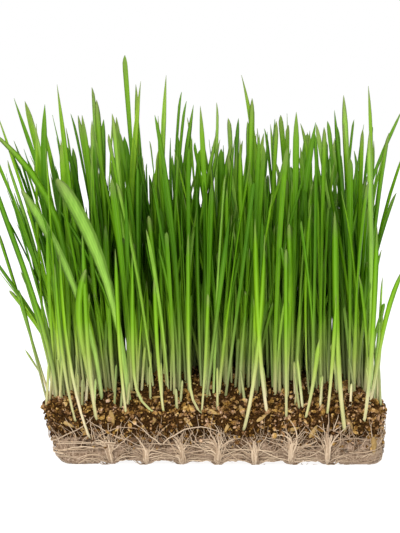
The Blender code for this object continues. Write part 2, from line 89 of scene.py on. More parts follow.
# %% White floor, white world and two soft lights
FLOOR_REACH = 6
FLOOR_GREY = (0.25, 0.25, 0.25, 1.0)
FLOOR_GLOW = 0.9


def white_floor():
    """A wide floor under the slab. Its own faint light keeps it white, so its paint can be darker."""
    bm = bmesh.new()
    bmesh.ops.create_grid(bm, x_segments=1, y_segments=1, size=FLOOR_REACH)
    mesh = bpy.data.meshes.new("white_floor")
    bm.to_mesh(mesh)
    bm.free()
    paint = bpy.data.materials.new("white_floor")
    paint.use_nodes = True
    shader = paint.node_tree.nodes["Principled BSDF"]
    shader.inputs["Base Color"].default_value = FLOOR_GREY
    shader.inputs["Roughness"].default_value = 0.9
    shader.inputs["Specular IOR Level"].default_value = 0.0
    shader.inputs["Emission Color"].default_value = WHITE
    shader.inputs["Emission Strength"].default_value = FLOOR_GLOW
    mesh.materials.append(paint)
    floor = bpy.data.objects.new("white_floor", mesh)
    bpy.context.scene.collection.objects.link(floor)
    return floor


def area_light(name, place, target, size, power, colour):
    """A large square lamp, for soft shadows."""
    lamp = bpy.data.lights.new(name, "AREA")
    lamp.size = size
    lamp.energy = power
    lamp.color = colour
    obj = bpy.data.objects.new(name, lamp)
    aimed(obj, place, target)
    return obj


def white_world(strength):
    """An even white light from all around."""
    world = bpy.data.worlds.new("white_world")
    world.use_nodes = True
    background = world.node_tree.nodes["Background"]
    background.inputs["Color"].default_value = WHITE
    background.inputs["Strength"].default_value = strength
    bpy.context.scene.world = world


white_floor()
white_world(1.0)
area_light("key_light", (-0.9, -1.5, 1.3), (0, 0, 0.12), 0.9, 34, (1.0, 0.98, 0.95))
area_light("fill_light", (1.3, -1.2, 0.7), (0, 0, 0.10), 1.2, 12, (0.96, 0.98, 1.0))
bpy.context.scene.view_settings.view_transform = "Standard"

# %% [markdown]
# ## The slab's own shape
#
# A tray with slightly leaning walls moulded the slab. Its top is heaped up behind the edges, which are
# worn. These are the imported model's measures, so each finer piece lands where its solid is. Two things
# differ: the left wall's foot is drawn in by 2.5 mm, because the felt there has shrunk from the tray, and
# loose medium is heaped between the plants. Both could be sculpted, but a rule for the height also tells
# every root and crumb where the surface is.

# %% Measures of the slab
SLAB_HEIGHT = 41 * MM
LEFT_WALL = (109.5 * MM, 120 * MM)
RIGHT_WALL = (112 * MM, 114 * MM)
FRONT_WALL = (55 * MM, 59 * MM)
PLAN_X = 116 * MM
PLAN_Y = 59 * MM
CORNER_RADIUS = 12 * MM
MAT_TOP = 20 * MM
HOLE_PITCH = 25.4 * MM
ARCH_HEIGHT = 3.6 * MM
BOTTOM_ROUND = 7 * MM
BOTTOM_TUCK = 4.5 * MM
CROWN_RISE = 9.5 * MM
CROWN_RUN = 30 * MM
SWELL = 3.4 * MM
CRUMB_RELIEF = 1.5 * MM
SHOULDER = 9 * MM
SHOULDER_DROP = 3.2 * MM
HEAP_RISE = 10 * MM
HEAP_START = 10 * MM
HEAP_RUN = 26 * MM


def smooth_share(value):
    """A share from 0 to 1 with soft ends."""
    value = min(max(value, 0.0), 1.0)
    return value * value * (3 - 2 * value)


def reach(wall, z):
    """How far a wall stands from the middle at height z."""
    foot, top = wall
    return foot + (top - foot) * z / SLAB_HEIGHT


def side_wall(x):
    """The wall at the left or the right end, whichever x is nearer to."""
    return LEFT_WALL if x < 0 else RIGHT_WALL


def lumps(x, y, z, size):
    """Noise from about -1 to 1, with lumps of a given size."""
    return noise.noise(Vector((x, y, z)) / size)


def from_edge(x, y):
    """How far inside the slab's upper edge a place lies."""
    return min(reach(side_wall(x), SLAB_HEIGHT) - abs(x), PLAN_Y - abs(y))


def medium_height(x, y):
    """Height of the medium's top: a crown with swells and crumbs, and worn edges."""
    edge = from_edge(x, y)
    crown = CROWN_RISE * smooth_share(edge / CROWN_RUN)
    swell = SWELL * lumps(x, y, 0.3, 38 * MM)
    crumb = CRUMB_RELIEF * lumps(x, y, 0.7, 11 * MM)
    worn = SHOULDER_DROP * (1 - smooth_share(edge / SHOULDER)) ** 2
    return SLAB_HEIGHT + crown + swell + crumb - worn


def heaped_height(x, y):
    """Height of the medium's top with its loose heaps, which lie between the plants behind the edge."""
    heap = 0.75 + 0.9 * lumps(x, y, 2.1, 21 * MM)
    behind = smooth_share((from_edge(x, y) - HEAP_START) / HEAP_RUN)
    return medium_height(x, y) + HEAP_RISE * max(heap, 0.0) * behind


print("medium in the middle, mm:", round(heaped_height(0, 0) / MM, 1))

# %% The slab's outline, walked from the front left corner round to it again


def outline_table():
    """Distance along the outline, place and outward direction, at close steps round the corners."""
    rows = []
    corners = [(1, -1, -90), (1, 1, 0), (-1, 1, 90), (-1, -1, 180)]
    for side_x, side_y, start in corners:
        middle_x = side_x * (PLAN_X - CORNER_RADIUS)
        middle_y = side_y * (PLAN_Y - CORNER_RADIUS)
        for turn in np.radians(np.linspace(start, start + 90, 13)):
            out_x, out_y = math.cos(turn), math.sin(turn)
            rows.append((middle_x + CORNER_RADIUS * out_x, middle_y + CORNER_RADIUS * out_y, out_x, out_y))
    rows.insert(0, (-(PLAN_X - CORNER_RADIUS), -PLAN_Y, 0.0, -1.0))
    rows = np.array(rows)
    steps = np.hypot(*np.diff(rows[:, :2], axis=0).T)
    return np.concatenate([[0], np.cumsum(steps)]), rows


ALONG, OUTLINE = outline_table()
PERIMETER = ALONG[-1]


def wall_frame(along, z):
    """Places on the leaning wall, and the direction out of it, at distances along the outline."""
    x, y, out_x, out_y = [np.interp(np.mod(along, PERIMETER), ALONG, column) for column in OUTLINE.T]
    size_x = np.where(x < 0, reach(LEFT_WALL, z), reach(RIGHT_WALL, z)) / PLAN_X
    size_y = reach(FRONT_WALL, z) / PLAN_Y
    zero = np.zeros_like(x)
    return np.stack([x * size_x, y * size_y, z + zero], -1), np.stack([out_x, out_y, zero], -1)


def on_wall(along, z, lift):
    """Places over the wall by a lift, which may differ from place to place."""
    place, out = wall_frame(np.asarray(along, float), np.asarray(z, float))
    return place + out * np.asarray(lift, float)[..., None]


print("round the slab, mm:", round(PERIMETER / MM))

# %% [markdown]
# ## Many like things in one mesh
#
# Roots, husks and blades are all a section swept along a line. Curves with a bevel could do this one at a
# time, but thousands of objects would be slow, so numpy lays out every vertex of a bunch at once. Values
# that differ from one blade to the next travel with the mesh as attributes, where a material can read them.

# %% Sweep sections along lines


def sweep(lines, across, out, sections):
    """Vertices and faces of tubes: lines are (n, p, 3), sections (n, p, k, 2) along across and out."""
    count, rings, corners = sections.shape[:3]
    place = lines[:, :, None] + across[:, :, None] * sections[..., :1] + out[:, :, None] * sections[..., 1:]
    first = np.arange(count)[:, None, None] * rings * corners + np.arange(rings - 1)[None, :, None] * corners
    here = np.arange(corners)
    after = (here + 1) % corners
    faces = np.stack([first + here, first + after, first + corners + after, first + corners + here], -1)
    return place.reshape(-1, 3), faces.reshape(-1, 4)


def unit(vectors):
    """Vectors made one long."""
    return vectors / np.maximum(np.linalg.norm(vectors, axis=-1, keepdims=True), 1e-12)


def round_sections(radii, corners):
    """Round sections for each point of each line."""
    turn = np.arange(corners) * 2 * math.pi / corners
    circle = np.stack([np.cos(turn), np.sin(turn)], -1)
    return radii[..., None, None] * circle


def tubes(lines, radii, corners, outward):
    """Round tubes along lines. outward is a direction for each line, to set the sections by."""
    tangent = unit(np.gradient(lines, axis=1))
    across = unit(np.cross(np.broadcast_to(outward, lines.shape), tangent))
    return sweep(lines, across, unit(np.cross(tangent, across)), round_sections(radii, corners))


def mesh_object(name, vertices, faces, values=None, smooth=True):
    """An object from arrays, with one number for each vertex under each name in values."""
    mesh = bpy.data.meshes.new(name)
    corners = faces.shape[1]
    mesh.vertices.add(len(vertices))
    mesh.vertices.foreach_set("co", vertices.astype(np.float32).ravel())
    mesh.loops.add(faces.size)
    mesh.loops.foreach_set("vertex_index", faces.astype(np.int32).ravel())
    mesh.polygons.add(len(faces))
    mesh.polygons.foreach_set("loop_start", np.arange(0, faces.size, corners, dtype=np.int32))
    mesh.polygons.foreach_set("use_smooth", np.full(len(faces), smooth))
    mesh.update(calc_edges=True)
    for label, numbers in (values or {}).items():
        layer = mesh.attributes.new(label, "FLOAT", "POINT")
        layer.data.foreach_set("value", np.asarray(numbers, np.float32).ravel())
    obj = bpy.data.objects.new(name, mesh)
    bpy.context.scene.collection.objects.link(obj)
    return obj


def settle(obj, finish):
    """Give a piece its finish, tie it to the slab and print how many triangles it has."""
    obj.data.materials.append(finish)
    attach(obj, "root")
    faces = sum(len(p.vertices) - 2 for p in obj.data.polygons)
    print(obj.name, "triangles:", faces)
    return obj


# %% [markdown]
# ## A short way to write materials
#
# Each finish is a node tree. This small class adds a node, sets its inputs by name and returns its output,
# so that a recipe reads as a list of steps.

# %% Finish: a material and its nodes


class Finish:
    """A material with a Principled shader, and short ways to add nodes before it."""

    def __init__(self, name, roughness):
        self.material = bpy.data.materials.new(name)
        self.material.use_nodes = True
        self.nodes = self.material.node_tree.nodes
        self.links = self.material.node_tree.links
        self.shader = self.nodes["Principled BSDF"]
        self.shader.inputs["Roughness"].default_value = roughness

    def set(self, socket, value):
        """Link a socket or give it a fixed value."""
        if isinstance(value, bpy.types.NodeSocket):
            self.links.new(value, socket)
        else:
            socket.default_value = value

    def add(self, kind, inputs=None, output=0, **settings):
        """Add a node and return one of its outputs."""
        node = self.nodes.new("ShaderNode" + kind)
        for name, value in settings.items():
            setattr(node, name, value)
        for name, value in (inputs or {}).items():
            self.set(node.inputs[name], value)
        return node.outputs[output]

    def value(self, name):
        """A number that travels with the mesh."""
        return self.add("Attribute", output="Fac", attribute_name=name)

    def place(self, stretch=(1, 1, 1)):
        """Object coordinates, stretched for patterns that run one way."""
        place = self.add("TexCoord", output="Object")
        return self.add("Mapping", {"Vector": place, "Scale": stretch})

    def noise(self, scale, detail=3.0, stretch=(1, 1, 1)):
        """Noise from 0 to 1. scale is in bumps for each metre."""
        where = self.place(stretch)
        return self.add("TexNoise", {"Vector": where, "Scale": scale, "Detail": detail}, output="Fac")

    def math(self, operation, a, b=0.0, c=0.0):
        """One step of arithmetic on numbers or on outputs."""
        return self.add("Math", {0: a, 1: b, 2: c}, operation=operation)

    def ramp(self, factor, stops):
        """A colour ramp from (place, colour) pairs."""
        output = self.add("ValToRGB", {"Fac": factor})
        elements = output.node.color_ramp.elements
        while len(elements) < len(stops):
            elements.new(0.5)
        for element, (place, colour) in zip(elements, stops):
            element.position = place
            element.color = (*colour, 1.0)
        return output

    def mix(self, factor, one, other, blend="MIX"):
        """Mix two colours."""
        output = self.add("Mix", output=2, data_type="RGBA", blend_type=blend)
        for socket, value in zip((0, 6, 7), (factor, one, other)):
            if isinstance(value, tuple):
                value = (*value, 1.0)
            self.set(output.node.inputs[socket], value)
        return output

    def span(self, factor, low, high, to_low=0.0, to_high=1.0):
        """Stretch a number's range and keep it inside the new one."""
        places = {"From Min": low, "From Max": high, "To Min": to_low, "To Max": to_high}
        return self.add("MapRange", {"Value": factor, **places})

    def bump(self, height, strength, distance):
        """Relief from a height."""
        inputs = {"Height": height, "Strength": strength, "Distance": distance}
        self.links.new(self.add("Bump", inputs), self.shader.inputs["Normal"])

    def colour(self, output):
        """The base colour."""
        self.links.new(output, self.shader.inputs["Base Color"])


# %% [markdown]
# ## Where the plants stand
#
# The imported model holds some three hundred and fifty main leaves. They were placed by chance, but from one
# seed, and no two touch. Drawing the same numbers in the same order gives the same leaves again, so the
# finer ones keep their places. Copying them by hand would be hopeless, and a new random set would leave the
# solids.

# %% Leaves as level rings
TUFT_COLUMNS = 9
TUFT_ROWS = 4
TUFT_PITCH_X = 24.8 * MM
TUFT_PITCH_Y = 28 * MM
TUFT_MIDDLE = -2 * MM
TUFT_SHIFT = 0.2 * MM
CROWN_X = 11.2 * MM
CROWN_Y = 12.9 * MM
CROWN_DEPTH = 10 * MM
ROOT_OVER_CROWN = 1.5 * MM
BASE_INSET = 1.9 * MM
LEAF_SUNK = 4 * MM
LEAF_WIDTHS = (3.9 * MM, 5.6 * MM)
LEAF_HEIGHTS = (108 * MM, 190 * MM)
RING_SHARES = (0.0, 0.25, 0.88, 1.0)
RING_WIDTHS = (0.48, 0.6, 0.9, 0.0)
FAN_LEFT = 0.13
FAN_RIGHT = -0.03
FAN_FRONT = 0.1
FAN_BACK = 0.14
FAN_IN_LEAN = 0.75
FAN_IN_BEND = 0.35
LEAN_SPREAD = 0.042
BEND_SPREAD = 0.055
TWIST = 0.5


class Leaf:
    """One leaf as rings: heights, middles, widths and how far each ring is turned."""

    def __init__(self, z, middle, width, turn):
        self.z = np.asarray(z, float)
        self.middle = np.asarray(middle, float)
        self.width = np.asarray(width, float)
        self.turn = np.asarray(turn, float)
        self.half = self.width[:, None] / 2 * np.stack([np.cos(turn), np.sin(turn)], 1)

    def at(self, levels):
        """Middle and half-width vector at each level, with nothing over the tip or under the root."""
        columns = [*self.middle.T, *self.half.T]
        found = np.stack([np.interp(levels, self.z, c) for c in columns], 1)
        found[(levels > self.z[-1]) | (levels < self.z[0])] = np.nan
        return found


def tuft_centres(rng):
    """Where the tufts stand, a little off a regular grid."""
    made = []
    for row in range(TUFT_ROWS):
        for column in range(TUFT_COLUMNS):
            x = TUFT_MIDDLE + (column - (TUFT_COLUMNS - 1) / 2) * TUFT_PITCH_X
            y = (row - (TUFT_ROWS - 1) / 2) * TUFT_PITCH_Y
            shift = rng.uniform(-1, 1, 2) * TUFT_SHIFT
            made.append((x + shift[0], y + shift[1]))
    return made


def random_base(rng, centre):
    """A place for a root inside a tuft's crown. In the outer rows it is the crown's inner half."""
    while True:
        u, v = rng.uniform(-1, 1, 2)
        if abs(u) + abs(v) < 1.5:
            break
    if abs(centre[1]) > TUFT_PITCH_Y:
        v = -math.copysign(abs(v), centre[1])
    x = centre[0] + (CROWN_X - BASE_INSET) * u
    y = centre[1] + (CROWN_Y - BASE_INSET) * v
    return np.array([x, y]), root_height(x, y, centre)


def root_height(x, y, centre):
    """Height of a leaf's root: sunk in the medium, but over the bottom of its tuft's crown."""
    crown_bottom = medium_height(*centre) - CROWN_DEPTH
    return max(medium_height(x, y) - LEAF_SUNK, crown_bottom + ROOT_OVER_CROWN)


def spread(rng, size, limit=2.0):
    """Two random numbers of a bell curve, with its far ends cut off."""
    return np.clip(rng.normal(0, 1, 2), -limit, limit) * size


def fan_lean(base):
    """How far the grass leans out at a place: more the farther it stands from the middle."""
    side = FAN_LEFT if base[0] < 0 else FAN_RIGHT
    end = FAN_FRONT if base[1] < 0 else FAN_BACK
    return np.array([side * base[0] / PLAN_X, end * base[1] / PLAN_Y])


def curved_leaf(rng, base, z, height, lean, bend, shares, widths):
    """A leaf that leans, bends further towards its tip and twists as it grows."""
    shares = np.array(shares)
    rise = height * shares[:, None]
    middle = base + rise * lean + rise * shares[:, None] * bend
    turn = rng.uniform(0, 2 * math.pi) + rng.uniform(-TWIST, TWIST) * shares
    return Leaf(z + height * shares, middle, rng.uniform(*LEAF_WIDTHS) * np.array(widths), turn)


def filling_leaf(rng, centre):
    """A leaf from a tuft's crown that leans out with the fan."""
    base, z = random_base(rng, centre)
    fan = fan_lean(base)
    height = rng.uniform(*LEAF_HEIGHTS)
    lean = fan * FAN_IN_LEAN + spread(rng, LEAN_SPREAD)
    bend = fan * FAN_IN_BEND + spread(rng, BEND_SPREAD)
    return curved_leaf(rng, base, z, height, lean, bend, RING_SHARES, RING_WIDTHS)


print("tufts:", TUFT_ROWS * TUFT_COLUMNS)


# %% [markdown]
# ## Tall tips and leaves with a shape of their own
#
# The tallest tips make the skyline, and a few leaves at the left and right arch in a way of their own.
# Chance would put them elsewhere, so they are given by measured places in millimetres: how far right of the
# middle, and how high. A tip of the skyline is measured where the line from the eye to it passes through
# the plane of the front wall, so a tip farther back stands higher.

# %% Skyline and shaped leaves
EYE_DISTANCE = 0.972
EYE_HEIGHT = 0.233
SKYLINE_SHARES = (0.0, 0.2, 0.5, 0.9, 1.0)
SKYLINE_WIDTHS = (0.46, 0.52, 0.92, 0.78, 0.0)
SKYLINE = [
    (-146, 238), (-134, 247), (-127, 245), (-114, 243), (-106, 256), (-92, 236), (-83, 254), (-80, 246),
    (-70, 237), (-61, 275), (-54, 256), (-51, 258), (-42, 236), (-34, 262), (-24, 251), (-21, 245),
    (-12, 242), (-1, 244), (8, 222), (15, 262), (22, 247), (30, 224), (41, 236), (45, 237),
    (51, 238), (59, 221), (70, 220), (82, 249), (98, 255), (121, 240), (128, 226),
]
# Each has places and heights along it, its widths there, and its depth at the root and at the tip
SHAPED = [
    ((-60, -67, -73, -83, -94, -105),
     (0, 50, 81, 108, 131, 150), (2.4, 2.8, 4.6, 7.6, 8.2, 3.0), (-49, -68)),
    ((-79, -87, -96, -110, -119, -129),
     (0, 43, 79, 105, 122, 140), (2.2, 2.6, 4.0, 6.0, 5.8, 2.0), (-46, -64)),
    ((-84, -89, -93, -92, -88), (0, 29, 57, 71, 90), (2.2, 3.0, 5.8, 4.6, 0.8), (-51, -63)),
    ((-99, -102, -108, -116, -133, -150),
     (0, 70, 122, 139, 158, 178), (2.4, 3.6, 5.4, 5.6, 5.0, 1.2), (-40, -50)),
    ((-109, -121, -133, -143, -150, -155),
     (0, 57, 98, 124, 146, 163), (2.2, 3.4, 4.2, 4.0, 3.0, 0.8), (-45, -52)),
    ((-109, -120, -133, -143, -157), (0, 40, 62, 76, 97), (2.0, 2.4, 3.2, 3.2, 0.8), (-18, -22)),
    ((-109, -117, -128, -138), (0, 36, 62, 82), (1.9, 2.2, 2.8, 0.7), (-9, -8)),
    ((102, 109, 114, 119, 123), (0, 40, 64, 81, 89), (2.0, 2.4, 3.6, 3.4, 0.8), (-50, -55)),
    ((106, 109, 111), (0, 45, 84), (1.9, 2.2, 0.7), (-37, -40)),
]


def skyline_leaf(rng, centre, tip):
    """A tall leaf from a tuft's crown to a tip of the skyline."""
    base, z = random_base(rng, centre)
    fan = fan_lean(base)
    depth = base[1] + fan[1] * (tip[1] - SLAB_HEIGHT) + PLAN_Y
    farther = 1 + depth / EYE_DISTANCE
    height = EYE_HEIGHT + (tip[1] - EYE_HEIGHT) * farther - z
    lean = fan * FAN_IN_LEAN + spread(rng, LEAN_SPREAD)
    bend = fan - lean
    bend[0] = (tip[0] * farther - base[0]) / height - lean[0]
    return curved_leaf(rng, base, z, height, lean, bend, SKYLINE_SHARES, SKYLINE_WIDTHS)


def shaped_leaf(rng, centre, places, heights, widths, depths):
    """One of the leaves with a shape of its own, its root sunk in the medium."""
    x = np.array(places) * MM
    y = np.interp(heights, [0, heights[-1]], depths) * MM
    z = medium_height(x[0], y[0]) + np.array(heights) * MM
    z[0] = root_height(x[0], y[0], centre)
    z, x, y = np.append(z, z[-1] + 1.2 * MM), np.append(x, x[-1]), np.append(y, y[-1])
    turn = rng.uniform(-0.3, 0.3) * np.ones(len(x))
    return Leaf(z, np.stack([x, y], 1), np.append(widths, 0) * MM, turn)


print("tips of the skyline:", len(SKYLINE), "and leaves with their own shape:", len(SHAPED))

# %% [markdown]
# ## Leaves that don't run through each other
#
# Real leaves push each other aside. A cloth or collision simulation could do that, but it wouldn't give
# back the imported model's leaves. Like that model, this step draws a leaf, looks level by level whether it
# keeps clear of those already there, and draws again if it doesn't.

# %% The gap between two leaves
LEAF_CLEARANCE = 1.8 * MM
NEIGHBOUR = 10 * MM
LEVEL_STEP = 5 * MM
LEVELS = np.arange(SLAB_HEIGHT - 8 * MM, 280 * MM, LEVEL_STEP)
TRIES = 60


def point_to_segment(p, a, b):
    """Distance from points p to the segments from a to b, all in the plane."""
    run = b - a
    length = np.maximum((run**2).sum(-1), 1e-12)
    share = np.clip(((p - a) * run).sum(-1) / length, 0, 1)
    return np.sqrt(((p - a - share[..., None] * run) ** 2).sum(-1))


def side_of(p, q, r):
    """Positive where r lies to the left of the line from p to q, and negative to its right."""
    along, to_point = q - p, r - p
    return along[..., 0] * to_point[..., 1] - along[..., 1] * to_point[..., 0]


def smallest_gap(one, others):
    """The smallest distance between one leaf and the others, level by level."""
    if not len(others):
        return np.inf
    a, b = one[:, :2] - one[:, 2:], one[:, :2] + one[:, 2:]
    c, d = others[..., :2] - others[..., 2:], others[..., :2] + others[..., 2:]
    to_other = np.minimum(point_to_segment(a, c, d), point_to_segment(b, c, d))
    to_one = np.minimum(point_to_segment(c, a, b), point_to_segment(d, a, b))
    crossed = (side_of(a, b, c) * side_of(a, b, d) < 0) & (side_of(c, d, a) * side_of(c, d, b) < 0)
    gap = np.where(crossed, 0.0, np.minimum(to_other, to_one))
    return np.nanmin(np.where(np.isnan(gap), np.inf, gap))


def is_clear(line, placed):
    """Whether a leaf's line touches none of those already placed."""
    if not placed:
        return True
    others = np.array(placed)
    away = np.linalg.norm(others[..., :2] - line[:, :2], axis=-1)
    near = np.where(np.isnan(away), np.inf, away).min(axis=1) < NEIGHBOUR
    return smallest_gap(line, others[near]) > LEAF_CLEARANCE


def first_clear(make, placed):
    """The first of several random leaves that touches none of those already placed."""
    for _ in range(TRIES):
        leaf = make()
        line = leaf.at(LEVELS)
        if is_clear(line, placed):
            placed.append(line)
            return [leaf]
    return []


print("levels looked at:", len(LEVELS))

# %% Plant the tufts
PLANTING_SEED = 41
LEAVES_IN_ROW = (7, 12, 12, 9)


def plant_shaped(rng, centres, tufts, placed):
    """The leaves with their own shape, each in the tuft nearest to its root."""
    for places, heights, widths, depths in SHAPED:
        root = places[0] * MM, depths[0] * MM
        home = min(range(len(centres)), key=lambda k: math.dist(centres[k], root))
        leaf = shaped_leaf(rng, centres[home], places, heights, widths, depths)
        tufts[home].append(leaf)
        placed.append(leaf.at(LEVELS))


def plant_skyline(rng, centres, tufts, placed):
    """The tall leaves, from each row of tufts in turn and from the tuft that leans nearest to the tip."""
    for number, (x, height) in enumerate(SKYLINE):
        tip = x * MM, height * MM
        row = (number * 3) % TUFT_ROWS
        inside = [k for k in range(len(centres)) if k // TUFT_COLUMNS == row]
        rise = tip[1] - SLAB_HEIGHT
        home = min(inside, key=lambda k: abs(centres[k][0] + fan_lean(centres[k])[0] * rise - tip[0]))
        tufts[home] += first_clear(lambda: skyline_leaf(rng, centres[home], tip), placed)


def plant_rest(rng, centres, tufts, placed):
    """The other leaves, one to a tuft in turn, until each has its number."""
    for _ in range(max(LEAVES_IN_ROW)):
        for number, (tuft, centre) in enumerate(zip(tufts, centres)):
            if len(tuft) < LEAVES_IN_ROW[number // TUFT_COLUMNS]:
                tuft += first_clear(lambda: filling_leaf(rng, centre), placed)


def plan_leaves():
    """The main leaves, as one list for each tuft."""
    rng = np.random.default_rng(PLANTING_SEED)
    centres = tuft_centres(rng)
    tufts, placed = [[] for _ in centres], []
    plant_shaped(rng, centres, tufts, placed)
    plant_skyline(rng, centres, tufts, placed)
    plant_rest(rng, centres, tufts, placed)
    return tufts


MAIN_LEAVES = plan_leaves()
print("main leaves:", sum(len(t) for t in MAIN_LEAVES))

# %% [markdown]
# ## Finer leaves
#
# An oat leaf starts as a pale round stem, the rolled sheath of older leaves, and opens higher up into a
# flat blade with a keel and a groove along its middle. A stem and a blade made apart would show a seam. One
# section with six corners can be both: a hexagon at the foot that flattens as it rises. Each main leaf gets
# company by chance: one to three thinner plants beside it, and often a second leaf that leaves its sheath.

# %% One fine leaf
LEAF_SHARES = np.array([
    0, 0.06, 0.14, 0.23, 0.33, 0.44, 0.55, 0.66, 0.76, 0.85, 0.91, 0.95, 0.975, 0.99, 1.0,
])
ACROSS = np.array([-1.0, -0.45, 0.0, 0.45, 1.0, 0.0])
STEM_SECTION = np.array([0.0, 0.9, 1.0, 0.9, 0.0, -1.0])
BLADE_RIB = np.array([0.0, 0.6, -0.1, 0.6, 0.0, -1.0])
BLADE_THICKNESS = 0.17 * MM
SHEATHS_IN_MM = (28, 52)
OPENING = 34 * MM
FOLDS = (0.2, 0.7)
FLARE = ([0, 0.2, 0.45, 0.7, 0.85, 1], [0, 0.08, 0.42, 0.85, 1, 0.95])
BROAD_LEAF = 5.9 * MM


class LeafBunch:
    """A bunch of fine leaves, gathered ring by ring and then made into one mesh."""

    def __init__(self):
        self.lines, self.halves, self.turns = [], [], []
        self.opened, self.tones, self.folds = [], [], []

    def add(self, line, half, turn, rng, tone=None, sheath=None, fold=None):
        """Add one leaf by its line, half widths and turn. sheath is how high its stem stays rolled."""
        sheath = rng.uniform(*SHEATHS_IN_MM) * MM if sheath is None else sheath
        rise = line[:, 2] - line[0, 2]
        self.lines.append(line)
        self.halves.append(half)
        self.turns.append(turn)
        self.opened.append(np.clip((rise - sheath) / OPENING, 0, 1))
        self.tones.append(rng.uniform() if tone is None else tone)
        self.folds.append(rng.uniform(*FOLDS) if fold is None else fold)

    def build(self, name):
        """One object with all the leaves."""
        lines, half = np.array(self.lines), np.array(self.halves)
        turn, opened = np.array(self.turns), np.array(self.opened)[..., None]
        across = np.stack([np.cos(turn), np.sin(turn), np.zeros_like(turn)], -1)
        tangent = unit(np.gradient(lines, axis=1))
        out = unit(np.cross(tangent, across))
        thick = half[..., None] * (1 - opened) + BLADE_THICKNESS * opened
        fold = np.array(self.folds)[:, None, None] * opened * half[..., None] * np.abs(ACROSS)
        high = thick * (STEM_SECTION * (1 - opened) + BLADE_RIB * opened) + fold
        sections = np.stack([half[..., None] * ACROSS + 0 * high, high], -1)
        vertices, faces = sweep(lines, across, out, sections)
        shape = sections.shape[:3]
        values = {
            "across": np.broadcast_to(ACROSS, shape),
            "share": np.broadcast_to(LEAF_SHARES[None, :, None], shape),
            "tone": np.broadcast_to(np.array(self.tones)[:, None, None], shape),
        }
        return mesh_object(name, vertices, faces, values)


def leaf_width(shares, stem, blade, blunt):
    """Half widths from a stem up to a blade, whose tip is slim at blunt 0 and rounded at blunt 1."""
    flare = np.interp(shares, *FLARE)
    start = 0.7 + 0.27 * blunt
    past = np.clip((shares - start) / (1 - start), 0, 1)
    return (stem + (blade - stem) * flare) * (1 - 0.96 * past ** (1.4 + 1.4 * blunt)) / 2


def own_width(z, leaf):
    """Half widths of a leaf with its own shape. Over its widest place it rounds off to the tip."""
    widest = leaf.z[np.argmax(leaf.width)]
    past = np.clip((z - widest) / (z[-1] - widest), 0, 1)
    rounded = leaf.width.max() * np.maximum(1 - past**3.5, 0.001) ** 0.5
    return np.where(z > widest, rounded, np.interp(z, leaf.z, leaf.width)) / 2


def fine_line(leaf):
    """A main leaf's middle line and turn at the fine rings."""
    z = leaf.z[0] + (leaf.z[-1] - leaf.z[0]) * LEAF_SHARES
    rise = leaf.z - leaf.z[0]
    curve = np.polyfit(rise, leaf.middle, 3)
    middle = np.stack([np.polyval(column, z - z[0]) for column in curve.T], 1)
    return np.column_stack([middle, z]), np.interp(z, leaf.z, leaf.turn)


print("rings of a fine leaf:", len(LEAF_SHARES))

# %% Each main leaf and its company
FINE_SEED = 7
COMPANIONS_IN_ROW = (1.6, 1.8, 2.8, 2.6)
SECOND_LEAVES = 0.55
ROOM_ROUND_PLANT = 4.2 * MM
FRONT_ROW_IN_MM = (-46, -30)
STRAY_LEAN = 0.045
STRAY_BEND = 0.06
RIGHT_PULL = 0.06


def inside_slab(x, y, margin):
    """Keep a root's place inside the slab's top."""
    limit = reach(side_wall(x), SLAB_HEIGHT) - margin
    return np.clip(x, -limit, limit), np.clip(y, -PLAN_Y + margin, PLAN_Y - margin)


def has_own_shape(leaf):
    """Whether a leaf is one of the larger shaped ones, which have more rings than any other."""
    return leaf.z.size > len(SKYLINE_SHARES)


def add_main(bunch, leaf, rng):
    """The main leaf itself, in fine rings. The two broadest are the palest too."""
    line, turn = fine_line(leaf)
    if has_own_shape(leaf):
        broad = leaf.width.max() > BROAD_LEAF
        half = own_width(line[:, 2], leaf) * (1.25 if broad else 1.0)
        bunch.add(line, half, turn, rng, tone=0.97 if broad else rng.uniform(), fold=0.15)
        return line, turn
    blade = leaf.width.max() * rng.uniform(0.84, 1.06)
    stem = rng.uniform(1.8, 2.7) * MM
    half = leaf_width(LEAF_SHARES, stem, blade, 0.2 + 0.8 * rng.uniform() ** 0.6)
    bunch.add(line, half, turn + rng.uniform(-1.2, 1.2) * LEAF_SHARES, rng)
    return line, turn


def add_companion(bunch, line, rng):
    """A thinner plant beside a main leaf. It follows that leaf, and strays from it as it rises."""
    x, y = inside_slab(*(line[0, :2] + rng.normal(0, ROOM_ROUND_PLANT, 2)), 3 * MM)
    y = max(y, rng.uniform(*FRONT_ROW_IN_MM) * MM)
    length = (line[-1, 2] - line[0, 2]) * rng.uniform(0.3, 0.95)
    rise = length * LEAF_SHARES
    risen = line[:, 2] - line[0, 2]
    follow = np.stack([np.interp(rise, risen, line[:, k] - line[0, k]) for k in (0, 1)], 1)
    stray = rise[:, None] * rng.normal(0, STRAY_LEAN, 2)
    stray = stray + (rise**2 / length)[:, None] * rng.normal(0, STRAY_BEND, 2)
    stray[:, 0] -= RIGHT_PULL * rise * max(x / PLAN_X, 0.0) ** 3
    middle = np.array([x, y]) + follow + stray
    z = heaped_height(x, y) - 3 * MM + rise
    size = 0.6 + 0.4 * length / (190 * MM)
    stem = rng.uniform(1.3, 2.1) * MM
    blade = rng.uniform(3.0, 4.6) * MM * size
    half = leaf_width(LEAF_SHARES, stem, blade, rng.uniform())
    turn = rng.uniform(0, 2 * math.pi) + rng.uniform(-0.9, 0.9) * LEAF_SHARES
    bunch.add(np.column_stack([middle, z]), half, turn, rng)


